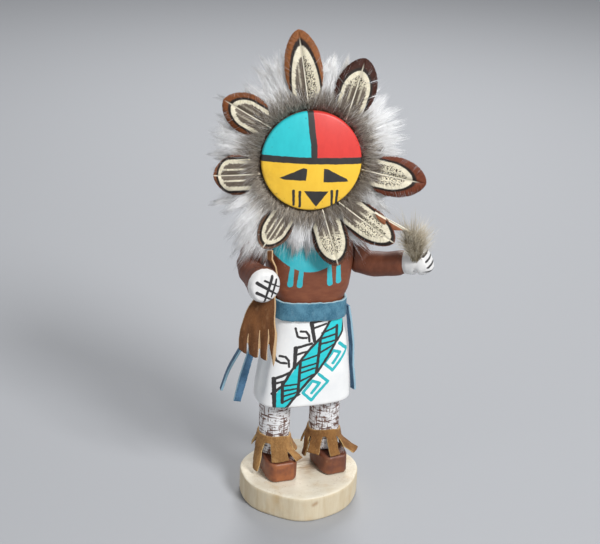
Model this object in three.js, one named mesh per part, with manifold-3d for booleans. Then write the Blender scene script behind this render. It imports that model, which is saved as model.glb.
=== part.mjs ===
// A carved wooden kachina doll with a round sun mask, a fur ruff, feathers and leather trimmings.
// Millimetres, +Z up. The doll faces -Y and stands on z = 0, with the origin under the middle of its base.
// "Right" and "left" are the doll's own: its right side is at -X.
import * as THREE from "three";
import { mergeVertices } from "three/addons/utils/BufferGeometryUtils.js";
import Module from "manifold-3d";

const wasm = await Module();
wasm.setup();

// ---------------------------------------------------------------- driving dimensions
const GAP = 0.3; // clearance between pieces that touch
const BASE = { radius: 28.3, height: 12.7, sides: 72, edge: 0.5 };
const FOOT_HEIGHT = 9.8;
const FOOT_TOP = BASE.height + GAP + FOOT_HEIGHT;
const HEM = 53.7; // height of the kilt's hem
const LEG = { x: 12.5, y: 3, radius: 7.4, sides: 24 };
const WAIST = { bottom: 97.6, top: 107.6, halfWidth: 16.3, halfDepth: 11.2 };
const BELT_THICKNESS = 1.3;
const BODY_Y = 1; // the body's middle plane lies a little behind the middle of the base
const NECK_TOP = 160;
const HEAD_BLOCK = { halfWidth: 12, depth: 15, halfHeight: 16, drop: 4 };
const MASK = { radius: 22, thickness: 7, dome: 3.2, yaw: -9, tilt: 5, centre: [-4.3, -14.8, 174.8] };
const RUFF = { inner: 22.6, outer: 40, front: 4.2, back: 8.2, lobes: 14 };
const LEATHER = 1.2;

// ---------------------------------------------------------------- helpers
const radians = THREE.MathUtils.degToRad;

// Moves every vertex of a geometry to the place that a function gives for it.
function reshape(geometry, place) {
  const position = geometry.getAttribute("position");
  const vertex = new THREE.Vector3();
  for (let i = 0; i < position.count; i++) {
    vertex.fromBufferAttribute(position, i);
    place(vertex);
    position.setXYZ(i, vertex.x, vertex.y, vertex.z);
  }
  return geometry;
}

function toSolid(geometry) {
  const bare = geometry.clone();
  bare.deleteAttribute("normal");
  bare.deleteAttribute("uv");
  const merged = mergeVertices(bare, 1e-4);
  return new wasm.Manifold(
    new wasm.Mesh({
      numProp: 3,
      vertProperties: merged.attributes.position.array,
      triVerts: new Uint32Array(merged.index.array),
    }),
  );
}

function toGeometry(solid) {
  const mesh = solid.getMesh();
  const geometry = new THREE.BufferGeometry();
  geometry.setAttribute("position", new THREE.BufferAttribute(mesh.vertProperties, 3));
  geometry.setIndex(new THREE.BufferAttribute(mesh.triVerts, 1));
  return geometry;
}

function join(...geometries) {
  return toGeometry(geometries.map(toSolid).reduce((a, b) => a.add(b)));
}

function cut(geometry, ...tools) {
  return toGeometry(tools.map(toSolid).reduce((a, b) => a.subtract(b), toSolid(geometry)));
}

// A unit cylinder that stands on z = 0 and reaches z = 1.
function unitColumn(sides, rings) {
  return new THREE.CylinderGeometry(1, 1, 1, sides, rings).rotateX(Math.PI / 2).translate(0, 0, 0.5);
}

// Linear interpolation in a list of rows whose first number is the key.
function between(rows, key) {
  let i = 1;
  while (i < rows.length - 1 && rows[i][0] < key) i++;
  const [low, high] = [rows[i - 1], rows[i]];
  const share = THREE.MathUtils.clamp((key - low[0]) / (high[0] - low[0]), 0, 1);
  return low.map((value, k) => THREE.MathUtils.lerp(value, high[k], share));
}

// A limb: a sphere drawn out along a curve. Each row gives a share of the length, the half width and the half height.
function limb(curve, rows, sides, rings) {
  const up = new THREE.Vector3(0, 0, 1);
  return reshape(new THREE.SphereGeometry(1, sides, rings), (v) => {
    const along = (v.y + 1) / 2;
    const around = Math.atan2(v.z, v.x);
    const ring = Math.hypot(v.x, v.z) > 1e-9 ? 1 : 0;
    const share = 0.5 - 0.5 * Math.cos(Math.PI * along);
    const t = THREE.MathUtils.lerp(along, share, 0.6);
    const [, halfWidth, halfHeight] = between(rows, t);
    const ends = Math.sqrt(Math.min(1, 12 * t * (1 - t))) * ring;
    const point = curve.getPoint(t);
    const tangent = curve.getTangent(t);
    const side = new THREE.Vector3().crossVectors(tangent, up).normalize();
    const top = new THREE.Vector3().crossVectors(side, tangent);
    v.copy(point)
      .addScaledVector(side, Math.cos(around) * halfWidth * ends)
      .addScaledVector(top, Math.sin(around) * halfHeight * ends);
  });
}

// A flat outline in X and Z given its thickness in Y, centred on y = 0.
function slab(shape, thickness, curveSegments = 8) {
  const settings = { depth: thickness, bevelEnabled: false, curveSegments };
  return new THREE.ExtrudeGeometry(shape, settings).translate(0, 0, -thickness / 2).rotateX(Math.PI / 2);
}

function material(color, roughness) {
  return new THREE.MeshStandardMaterial({ color, roughness, metalness: 0 });
}

const COLOURS = {
  rawWood: material("#dccbaa", 0.8),
  brownPaint: material("#7a4630", 0.5),
  stainedWood: material("#8a4a30", 0.45),
  tanLeather: material("#8f6236", 0.9),
  blueSuede: material("#3f6f8c", 0.9),
  maskPaint: material("#f3c53a", 0.4),
  fur: material("#e6e2da", 1),
  feather: material("#cdbf9c", 0.8),
};

const doll = new THREE.Group();

// The head's frame: X to the doll's left, Z up the mask, -Y out of the face, the origin in the rim's front plane.
const head = new THREE.Group();
head.position.set(...MASK.centre);
head.rotation.set(radians(-MASK.tilt), 0, radians(MASK.yaw), "ZYX");
doll.add(head);
doll.updateMatrixWorld(true);

function add(parent, name, geometry, look) {
  const mesh = new THREE.Mesh(geometry, look);
  mesh.name = name;
  parent.add(mesh);
  return mesh;
}

// ---------------------------------------------------------------- base
// A sawn round whose edge wanders a little, with its two rims eased.
function baseGeometry() {
  const { radius, height, sides, edge } = BASE;
  const rims = [[0, -edge], [edge / height, 0], [1 - edge / height, 0], [1, -edge]];
  return reshape(unitColumn(sides, 3), (v) => {
    const angle = Math.atan2(v.y, v.x);
    const ring = Math.hypot(v.x, v.y) > 0.5 ? 1 : 0;
    const [share, eased] = rims[Math.round(v.z * 3)];
    const wander = 0.55 * Math.cos(4 * angle + 0.4) + 0.3 * Math.cos(7 * angle);
    const reach = ring * (radius + wander + eased);
    v.set(reach * Math.cos(angle), reach * Math.sin(angle), share * height);
  });
}
add(doll, "base", baseGeometry(), COLOURS.rawWood);

// ---------------------------------------------------------------- feet
// A block with parallel sides, a chamfered toe and a rounded heel.
function footGeometry(width, toe, heel) {
  const half = width / 2;
  const toeHalf = half * 0.55;
  const chamfer = half * 0.85;
  const outline = new THREE.Shape();
  outline.moveTo(-toeHalf, -toe);
  outline.lineTo(toeHalf, -toe);
  outline.quadraticCurveTo(half * 0.9, -toe + 0.8, half, -toe + chamfer);
  outline.lineTo(half, heel - half);
  outline.absarc(0, heel - half, half, 0, Math.PI, false);
  outline.lineTo(-half, -toe + chamfer);
  outline.quadraticCurveTo(-half * 0.9, -toe + 0.8, -toeHalf, -toe);
  const bevel = { bevelThickness: 0.8, bevelSize: 0.6, bevelOffset: -0.6, bevelSegments: 1 };
  const settings = { depth: FOOT_HEIGHT - 1.6, bevelEnabled: true, curveSegments: 6, ...bevel };
  return new THREE.ExtrudeGeometry(outline, settings).translate(0, 0, 0.8);
}

const FEET = [
  { side: "right", x: -11.2, y: 0.3, toe: 12.4, turn: 2, width: 15.4 },
  { side: "left", x: 14.4, y: 0.4, toe: 11.4, turn: 8, width: 13.6 },
];
for (const { side, x, y, toe, turn, width } of FEET) {
  const foot = add(doll, "foot_" + side, footGeometry(width, toe, 11), COLOURS.stainedWood);
  foot.position.set(x, y, BASE.height + GAP);
  foot.rotation.z = radians(turn);
}

// ---------------------------------------------------------------- body
// Rows up the body: height, half width, half depth, drift of the centre to the doll's left.
const BODY_ROWS = [
  [HEM, 21.2, 12.7, 0.6],
  [HEM + 0.8, 22.0, 13.5, 0.6],
  [68, 21.0, 13.1, 0.7],
  [84, 18.9, 12.3, 0.8],
  [WAIST.bottom, WAIST.halfWidth, WAIST.halfDepth, 0.9],
  [WAIST.top, WAIST.halfWidth, WAIST.halfDepth, 1.1],
  [109, 17.1, 11.3, 1.1],
  [112, 18.5, 11.4, 1.1],
  [117, 19.5, 11.6, 1.1],
  [124, 20.2, 11.7, 1.1],
  [131, 20.2, 11.4, 0.9],
  [136, 19.2, 10.6, 0.7],
  [140, 16.6, 9.2, 0.5],
  [142.5, 12.5, 7.8, 0.3],
  [144.5, 8.4, 6.9, 0.2],
  [150, 7.2, 6.4, 0],
  [NECK_TOP, 6.8, 6.1, -0.8],
];

// The section is a rounded box at the kilt and chest, and turns to an ellipse at the neck.
function sectionPower(height) {
  return THREE.MathUtils.lerp(0.62, 1, THREE.MathUtils.smoothstep(height, 134, 146));
}

function bodyShell(rows, sides, grow) {
  const bend = (value, power) => Math.sign(value) * Math.abs(value) ** power;
  const lastRow = rows.length - 1;
  return reshape(unitColumn(sides, lastRow), (v) => {
    const angle = Math.atan2(v.y, v.x);
    const ring = Math.hypot(v.x, v.y) > 0.5 ? 1 : 0;
    const [height, halfWidth, halfDepth, drift] = rows[Math.round(v.z * lastRow)];
    const power = sectionPower(height);
    v.set(
      drift + ring * (halfWidth + grow) * bend(Math.cos(angle), power),
      BODY_Y + ring * (halfDepth + grow) * bend(Math.sin(angle), power),
      height,
    );
  });
}

// A leg stands on its foot and runs up into the kilt.
function legGeometry(side) {
  const bottom = FOOT_TOP + GAP;
  const top = HEM + 3;
  return new THREE.CylinderGeometry(LEG.radius + 0.2, LEG.radius - 0.2, top - bottom, LEG.sides)
    .rotateX(Math.PI / 2)
    .translate(side * LEG.x + 0.2, LEG.y, (bottom + top) / 2);
}

// The head is a rounded block behind the mask, flat where the mask is glued on.
function headBlockGeometry() {
  const { halfWidth, depth, halfHeight, drop } = HEAD_BLOCK;
  const front = MASK.thickness + GAP;
  const block = new THREE.SphereGeometry(1, 24, 14).scale(halfWidth, depth, halfHeight).translate(0, front, -drop);
  const ahead = new THREE.BoxGeometry(80, 40, 80).translate(0, front - 20, 0);
  return cut(block, ahead).applyMatrix4(head.matrixWorld);
}
const torso = bodyShell(BODY_ROWS, 40, 0);
const bodyGeometry = join(torso, legGeometry(-1), legGeometry(1), headBlockGeometry());
add(doll, "body", bodyGeometry, COLOURS.brownPaint);

// ---------------------------------------------------------------- belt
// A suede band that follows the waist, with straight cut edges.
function beltGeometry() {
  const bottom = WAIST.bottom + GAP;
  const top = WAIST.top - GAP;
  const rowsFrom = (low, high) => {
    const drift = 1;
    return [[low, WAIST.halfWidth, WAIST.halfDepth, drift], [high, WAIST.halfWidth, WAIST.halfDepth, drift]];
  };
  const outside = bodyShell(rowsFrom(bottom, top), 40, GAP + BELT_THICKNESS);
  const inside = bodyShell(rowsFrom(bottom - 1, top + 1), 40, GAP + 0.1);
  return cut(outside, inside);
}
add(doll, "belt", beltGeometry(), COLOURS.blueSuede);

// ---------------------------------------------------------------- hip ties
// A strip of suede that leaves the belt at the hip and curls away from the kilt.
function tieGeometry(points, width, thickness, facing) {
  const curve = new THREE.CatmullRomCurve3(points.map((p) => new THREE.Vector3(...p)));
  const strip = new THREE.BoxGeometry(1, 1, 1, 1, 1, 12).translate(0, 0, 0.5);
  const across = new THREE.Vector3(Math.cos(radians(facing)), Math.sin(radians(facing)), 0);
  return reshape(strip, (v) => {
    const point = curve.getPoint(v.z);
    const tangent = curve.getTangent(v.z);
    const outward = new THREE.Vector3().crossVectors(tangent, across).normalize();
    const side = new THREE.Vector3().crossVectors(outward, tangent);
    v.copy(point.addScaledVector(side, v.x * width).addScaledVector(outward, v.y * thickness));
  });
}

const TIES = [
  {
    name: "hip_tie_right_outer",
    points: [[-19.4, 7.5, 97], [-22.6, 7.6, 89], [-29.4, 6.2, 77], [-34.6, 5.4, 67], [-38.2, 5, 57]],
    width: 4,
    facing: 80,
  },
  {
    name: "hip_tie_right_inner",
    points: [[-20, 1, 97], [-22.4, 0.4, 88], [-26, -1, 77], [-29.4, -2, 66.5], [-32.6, -3, 54.5]],
    width: 4.2,
    facing: 14,
  },
  {
    name: "hip_tie_left",
    points: [[21.2, 2, 97], [22.8, 2.2, 88], [24.4, 2, 76], [25.2, 1.6, 64], [25.6, 1, 52.5]],
    width: 4,
    facing: 100,
  },
];
for (const { name, points, width, facing } of TIES) {
  add(doll, name, tieGeometry(points, width, 1.1, facing), COLOURS.blueSuede);
}

// ---------------------------------------------------------------- ankle fringes
// A band of leather round the ankle whose lower part is cut into strips that splay outwards.
// Each strip: the direction it points in from +X, its half width in degrees, how far it falls below the foot's
// top, and how far it splays.
function fringeGeometry(strips, bandTop) {
  const inner = LEG.radius + GAP + 0.3;
  const bandBottom = bandTop - 3.4;
  const ring = [
    new THREE.Vector2(inner, bandBottom),
    new THREE.Vector2(inner + LEATHER + 0.2, bandBottom),
    new THREE.Vector2(inner + LEATHER, bandTop),
    new THREE.Vector2(inner, bandTop),
    new THREE.Vector2(inner, bandBottom),
  ];
  const band = new THREE.LatheGeometry(ring, 32).rotateX(Math.PI / 2);
  const rest = bandBottom + 0.6 - FOOT_TOP - 2 * GAP;
  const pieces = strips.map(({ direction, halfAngle, extra, splay }) =>
    reshape(new THREE.BoxGeometry(1, 1, 1, 3, 1, 4).translate(0, 0, -0.5), (v) => {
      const down = -v.z;
      const angle = radians(direction) - 2 * v.x * radians(halfAngle) * (1 - 0.35 * down);
      const reach = inner + 0.2 + LEATHER * (v.y + 0.5) + splay * down ** 1.6;
      v.set(reach * Math.cos(angle), reach * Math.sin(angle), bandBottom + 0.6 - (rest + extra) * down);
    }),
  );
  return join(band, ...pieces);
}

// Over the toe the strips lie on the foot block. On the outer side they hang lower, past the foot.
const LOW_FALL = 8;
const FRINGES = [
  {
    name: "ankle_fringe_right",
    x: -LEG.x + 0.2,
    bandTop: 34.6,
    strips: [
      { direction: 204, halfAngle: 19, extra: LOW_FALL, splay: 2.6 },
      { direction: 269, halfAngle: 26, extra: 0, splay: 5.4 },
      { direction: 303, halfAngle: 13, extra: 0, splay: 7.7 },
      { direction: 344, halfAngle: 20, extra: 0, splay: 2.2 },
      { direction: 32, halfAngle: 21, extra: 0, splay: 2.6 },
      { direction: 84, halfAngle: 22, extra: 0, splay: 3.4 },
      { direction: 138, halfAngle: 22, extra: 0, splay: 3.2 },
    ],
  },
  {
    name: "ankle_fringe_left",
    x: LEG.x + 0.2,
    bandTop: 35.4,
    strips: [
      { direction: 190, halfAngle: 13, extra: 5, splay: 1.6 },
      { direction: 230, halfAngle: 20, extra: 0, splay: 4.2 },
      { direction: 279, halfAngle: 17, extra: 0, splay: 5.6 },
      { direction: 320, halfAngle: 17, extra: 0, splay: 8.4 },
      { direction: 6, halfAngle: 20, extra: LOW_FALL - 2, splay: 2.2 },
      { direction: 56, halfAngle: 22, extra: 0, splay: 3 },
      { direction: 108, halfAngle: 22, extra: 0, splay: 3.4 },
      { direction: 154, halfAngle: 17, extra: 0, splay: 2.4 },
    ],
  },
];
for (const { name, x, bandTop, strips } of FRINGES) {
  const fringe = add(doll, name, fringeGeometry(strips, bandTop), COLOURS.tanLeather);
  fringe.position.set(x, LEG.y, 0);
}

// ---------------------------------------------------------------- arms
const nearBody = bodyShell(BODY_ROWS, 40, GAP);

function armGeometry(points, rows) {
  const curve = new THREE.CatmullRomCurve3(points.map((p) => new THREE.Vector3(...p)), false, "catmullrom", 0.5);
  return cut(limb(curve, rows, 18, 18), nearBody);
}

// The right arm drops to the elbow and comes forward to a fist that faces the front.
add(
  doll,
  "arm_right",
  armGeometry(
    [[-17.5, 2, 137], [-23.5, 1.6, 129], [-27.6, -1.5, 122.4], [-27.8, -12, 121.8], [-27.2, -21, 122.3], [-27, -30, 122.8]],
    [[0, 6, 6.5], [0.2, 6.4, 7], [0.4, 6.2, 6.4], [0.66, 5.9, 5.9], [0.78, 7.0, 7.6], [0.9, 7.6, 8.3], [1, 7.2, 7.8]],
  ),
  COLOURS.brownPaint,
);

// The left arm drops a little, then reaches out to the side and forward, and ends in a fist.
add(
  doll,
  "arm_left",
  armGeometry(
    [[17.5, 2, 136], [21.5, 2, 127], [27, 0, 119], [36, -7, 120.2], [46, -14.5, 122.6], [54.5, -21, 125.4]],
    [[0, 6, 6.5], [0.2, 6.4, 6.8], [0.42, 5.8, 6.2], [0.68, 5.5, 5.7], [0.8, 6.2, 6.2], [0.93, 6.4, 6.6], [1, 6.4, 6.6]],
  ),
  COLOURS.brownPaint,
);

// ---------------------------------------------------------------- leather bag
// One flat piece of suede: a strap that rises past the wrist, a body that widens below the fist,
// and four tapering fringe fingers.
function bagGeometry() {
  const left = -36.2;
  const right = -19.6;
  const hip = 99;
  const shape = new THREE.Shape();
  shape.moveTo(right - 1.4, 114);
  shape.lineTo(-30, 114);
  shape.quadraticCurveTo(left + 0.5, 107, left, hip);
  shape.lineTo(left - 0.4, 90);
  shape.lineTo(-33, 87.4);
  shape.lineTo(-32.4, 98);
  shape.lineTo(-31.8, 87);
  shape.lineTo(-27.4, 84.8);
  shape.lineTo(-27.1, hip);
  shape.lineTo(-26.4, 85);
  shape.lineTo(-23.2, 82.8);
  shape.lineTo(-23.2, hip);
  shape.lineTo(-22.4, 91);
  shape.lineTo(-20.6, 79.8);
  shape.quadraticCurveTo(right + 1.6, 91, right - 0.2, hip);
  shape.lineTo(right - 0.6, 114);
  shape.lineTo(right + 0.1, 122);
  shape.lineTo(right + 0.1, 130);
  shape.lineTo(right - 0.2, 135);
  shape.lineTo(right - 2.8, 135);
  shape.lineTo(right - 2.6, 131);
  shape.lineTo(right - 0.8, 128.5);
  shape.lineTo(right - 0.8, 118);
  shape.closePath();
  return reshape(slab(shape, LEATHER, 6), (v) => {
    v.y += THREE.MathUtils.lerp(-20, -16.5, THREE.MathUtils.smoothstep(v.z, 112, 135));
  });
}
add(doll, "leather_bag", bagGeometry(), COLOURS.tanLeather);

// ---------------------------------------------------------------- mask, ruff and feathers

// A round turned about the face's axis from rows of radius and height above the rim's plane.
function turned(rows, sides) {
  const profile = rows.map(([radius, height]) => new THREE.Vector2(radius, height));
  return new THREE.LatheGeometry(profile, sides).rotateX(Math.PI);
}

function maskGeometry() {
  const { radius, thickness, dome } = MASK;
  const rows = [[0, -thickness], [radius - 0.5, -thickness], [radius, -thickness + 0.5], [radius, -0.5]];
  const steps = 5;
  for (let i = 0; i <= steps; i++) {
    const share = 1 - i / steps;
    rows.push([(radius - 0.3) * share, dome * (1 - share ** 2)]);
  }
  return turned(rows, 56);
}
add(head, "sun_mask", maskGeometry(), COLOURS.maskPaint);

// A flat ring of fur whose outer edge swells and shrinks in lobes.
function ruffGeometry() {
  const { inner, outer, front, back, lobes } = RUFF;
  const middle = (inner + outer) / 2;
  const rows = [[inner, -back], [middle, -back], [outer - 1.5, -back + 0.6], [outer, -back + 1.6]];
  rows.push([outer - 1, -front - 1.2], [middle, -front], [inner, -front], [inner, -back]);
  return reshape(turned(rows, 70), (v) => {
    const reach = Math.hypot(v.x, v.z);
    const angle = Math.atan2(v.z, v.x);
    const share = Math.max(0, (reach - middle) / (outer - middle));
    const stretch = 1 + 0.035 * share * Math.cos(lobes * angle);
    v.x *= stretch;
    v.z *= stretch;
  });
}
add(head, "fur_ruff", ruffGeometry(), COLOURS.fur);

// A leaf-shaped feather on a bare quill, pointing along +Z from its quill's end.
function featherShape(length, width, bare) {
  const quill = 0.5;
  const half = width / 2;
  const shape = new THREE.Shape();
  shape.moveTo(-quill, 0);
  shape.lineTo(quill, 0);
  shape.lineTo(quill, bare * length);
  shape.bezierCurveTo(half * 0.7, length * (bare + 0.12), half * 1.05, length * 0.5, half, length * 0.68);
  shape.bezierCurveTo(half * 0.95, length * 0.86, half * 0.55, length * 0.99, 0, length);
  shape.bezierCurveTo(-half * 0.55, length * 0.99, -half * 0.95, length * 0.86, -half, length * 0.68);
  shape.bezierCurveTo(-half * 1.05, length * 0.5, -half * 0.7, length * (bare + 0.12), -quill, bare * length);
  return shape;
}

// Where each feather leaves the mask's rim and the way it points, in degrees clockwise from the top.
const FEATHERS = [
  { at: -5, points: -10, length: 34.5, width: 16, raise: 0 },
  { at: 42, points: 24, length: 28, width: 17, raise: 0 },
  { at: 101, points: 104, length: 29, width: 16, raise: 0 },
  { at: 144, points: 126, length: 35, width: 15, raise: 0.8 },
  { at: 164, points: 164, length: 28.5, width: 14, raise: 0 },
  { at: 203, points: 205, length: 22, width: 13, raise: 0 },
  { at: 252, points: 268, length: 20, width: 14, raise: 0 },
  { at: 309, points: 301, length: 24, width: 16, raise: 0 },
];
const FEATHER_THICKNESS = 0.5;
FEATHERS.forEach(({ at, points, length, width, raise }, i) => {
  const geometry = slab(featherShape(length, width, 0.16), FEATHER_THICKNESS, 5);
  const feather = add(head, "feather_" + (i + 1), geometry, COLOURS.feather);
  const start = MASK.radius + 0.8;
  feather.position.set(start * Math.sin(radians(at)), 3.5 - raise, start * Math.cos(radians(at)));
  feather.rotation.y = radians(points);
});

// ---------------------------------------------------------------- held feather
// It rises out of the left fist towards the ruff, turned nearly edge-on to the front.
const HELD = { foot: [47.6, -16.4, 131.4], tip: [28.2, -13.6, 149.6], width: 8 };
function placeHeldFeather(mesh) {
  const foot = new THREE.Vector3(...HELD.foot);
  const along = new THREE.Vector3(...HELD.tip).sub(foot).normalize();
  const flat = new THREE.Vector3(0.5, 0.25, 0.83);
  const across = new THREE.Vector3().crossVectors(flat, along).normalize();
  const normal = new THREE.Vector3().crossVectors(along, across);
  mesh.setRotationFromMatrix(new THREE.Matrix4().makeBasis(across, normal, along));
  mesh.position.copy(foot);
}
const heldLength = new THREE.Vector3(...HELD.tip).distanceTo(new THREE.Vector3(...HELD.foot));
const heldGeometry = slab(featherShape(heldLength, HELD.width, 0.3), 0.8, 5);
placeHeldFeather(add(doll, "held_feather", heldGeometry, COLOURS.feather));

export default doll;
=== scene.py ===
# %% [markdown]
# # A carved kachina doll with a round sun mask
#
# The doll stands on a sawn wooden round. Its body, arms, feet and mask are carved wood under flat paint.
# Real fur, small barred feathers and strips of suede dress it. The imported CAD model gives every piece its
# place and size. This lesson keeps those places and gives each piece its real surface: carved softness,
# brush marks, cut leather edges, hair and barbs.

# %% Load the fixed frame
import math

import bmesh
import bpy
import numpy as np
from mathutils import Matrix, Vector


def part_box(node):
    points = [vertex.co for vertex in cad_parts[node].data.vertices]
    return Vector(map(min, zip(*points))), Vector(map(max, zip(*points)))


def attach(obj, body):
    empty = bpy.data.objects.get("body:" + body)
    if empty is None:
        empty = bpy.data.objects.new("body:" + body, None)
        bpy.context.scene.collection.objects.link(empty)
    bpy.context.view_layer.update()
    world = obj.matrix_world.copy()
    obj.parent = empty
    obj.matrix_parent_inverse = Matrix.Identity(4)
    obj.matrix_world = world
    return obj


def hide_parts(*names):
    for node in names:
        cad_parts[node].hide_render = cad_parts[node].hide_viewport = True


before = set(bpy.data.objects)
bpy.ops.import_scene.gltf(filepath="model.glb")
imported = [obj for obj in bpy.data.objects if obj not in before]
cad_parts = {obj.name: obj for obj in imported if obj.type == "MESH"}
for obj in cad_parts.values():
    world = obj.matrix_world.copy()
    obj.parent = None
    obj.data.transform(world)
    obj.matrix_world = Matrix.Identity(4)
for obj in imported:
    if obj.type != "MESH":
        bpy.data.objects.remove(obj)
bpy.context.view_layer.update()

# %% [markdown]
# Real kachina dolls are measured in centimetres, and their details in tenths of a millimetre. The frame is
# in metres, so sizes below are written in millimetres times `MM`.

# %% Units
MM = 0.001
UP = Vector((0, 0, 1))

# %% [markdown]
# ## Camera and light
#
# A small figure is best looked at from a little above and a little to one side, as it stands on a table.
# The camera uses a longish lens, so the doll keeps its proportions. Its position is written once, as a
# point beside the doll, with the direction it looks in.

# %% Camera
EYE = Vector((-178.4, -572.9, 371.1)) * MM
LOOK_TURN = math.radians(-17)
LOOK_DOWN = math.radians(23.03)
LEAN = math.radians(2.19)
LENS = 85.17
SENSOR = 36

camera_data = bpy.data.cameras.new("table_camera")
camera_data.lens = LENS
camera_data.sensor_width = SENSOR
camera_data.clip_start = 10 * MM
camera_data.clip_end = 20
camera = bpy.data.objects.new("table_camera", camera_data)
bpy.context.scene.collection.objects.link(camera)
backwards = Vector((
    math.sin(LOOK_TURN) * math.cos(LOOK_DOWN),
    -math.cos(LOOK_TURN) * math.cos(LOOK_DOWN),
    math.sin(LOOK_DOWN),
))
sideways = Vector((math.cos(LOOK_TURN), math.sin(LOOK_TURN), 0))
upwards = backwards.cross(sideways)
leaning_side = sideways * math.cos(LEAN) + upwards * math.sin(LEAN)
leaning_up = upwards * math.cos(LEAN) - sideways * math.sin(LEAN)
camera.matrix_world = Matrix((
    (leaning_side.x, leaning_up.x, backwards.x, EYE.x),
    (leaning_side.y, leaning_up.y, backwards.y, EYE.y),
    (leaning_side.z, leaning_up.z, backwards.z, EYE.z),
    (0, 0, 0, 1),
))
bpy.context.scene.camera = camera
print("camera distance in mm:", round(EYE.length / MM))

# %% [markdown]
# Soft studio light comes from big area lamps: a key from the front and a little to the right, a weaker fill
# from the left and a rim light from behind that draws the ends of the fur. A pale world fills the shadows.

# %% Lights and world


def soft_lamp(name, place, size, power):
    lamp = bpy.data.lights.new(name, "AREA")
    lamp.shape = "DISK"
    lamp.size = size
    lamp.energy = power
    lamp_object = bpy.data.objects.new(name, lamp)
    lamp_object.location = Vector(place)
    aim = Vector((0, 0, 0.12)) - Vector(place)
    lamp_object.rotation_euler = aim.to_track_quat("-Z", "Y").to_euler()
    bpy.context.scene.collection.objects.link(lamp_object)
    return lamp_object


soft_lamp("key_lamp", (0.38, -0.9, 0.92), 0.4, 14.8)
soft_lamp("fill_lamp", (-0.95, -0.45, 0.4), 0.7, 1.3)
soft_lamp("rim_lamp", (0.3, 0.8, 0.8), 0.5, 7.0)

world = bpy.data.worlds.new("soft_room")
world.use_nodes = True
world.node_tree.nodes["Background"].inputs["Color"].default_value = (0.97, 0.98, 1.0, 1)
world.node_tree.nodes["Background"].inputs["Strength"].default_value = 0.33
bpy.context.scene.world = world
bpy.context.scene.view_settings.view_transform = "Standard"

# %% [markdown]
# ## Writing finishes as sums
#
# A material is a graph of nodes. Drawing fifty wires by hand is slow to read, so the class below wraps one
# socket and lets Python's own arithmetic add the Math nodes: `1 - mask` becomes a Subtract node. Colours go
# through Mix nodes, because a Math node would turn them grey.

# %% A socket that can be added, multiplied and compared


class Reading:
    """One socket in a finish. Arithmetic on it adds Math nodes."""

    def __init__(self, finish, socket):
        self.finish = finish
        self.socket = socket

    def math(self, operation, *others):
        return self.finish.node("ShaderNodeMath", {"operation": operation}, [self, *others])

    def __add__(self, other):
        return self.math("ADD", other)

    __radd__ = __add__

    def __sub__(self, other):
        return self.math("SUBTRACT", other)

    def __rsub__(self, other):
        return self.finish.node("ShaderNodeMath", {"operation": "SUBTRACT"}, [other, self])

    def __mul__(self, other):
        return self.math("MULTIPLY", other)

    __rmul__ = __mul__

    def __truediv__(self, other):
        return self.math("DIVIDE", other)

    def __pow__(self, other):
        return self.math("POWER", other)

    def __abs__(self):
        return self.math("ABSOLUTE")

    def least(self, other):
        return self.math("MINIMUM", other)

    def most(self, other):
        return self.math("MAXIMUM", other)

    def rise(self, low, high):
        """0 below low, 1 above high, with an even curve between. Low may be the larger."""
        inputs = {0: self, 1: low, 2: high, 3: 0.0, 4: 1.0}
        settings = {"interpolation_type": "SMOOTHSTEP", "clamp": False}
        return self.finish.node("ShaderNodeMapRange", settings, inputs)


# %% [markdown]
# A finish collects the nodes of one material. `node` is the one way to add any node: its settings are made
# first, then its sockets get values or links.

# %% A finish and its nodes


def paint(code):
    """A colour written as #rrggbb, turned to the linear numbers that a shader uses."""
    parts = [int(code[i:i + 2], 16) / 255 for i in (1, 3, 5)]
    linear = [part / 12.92 if part <= 0.04045 else ((part + 0.055) / 1.055) ** 2.4 for part in parts]
    return (*linear, 1.0)


def scaled(colour, amount):
    """A colour made darker or lighter, and no brighter than white."""
    return (*(min(1, part * amount) for part in colour[:3]), 1.0)


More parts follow.
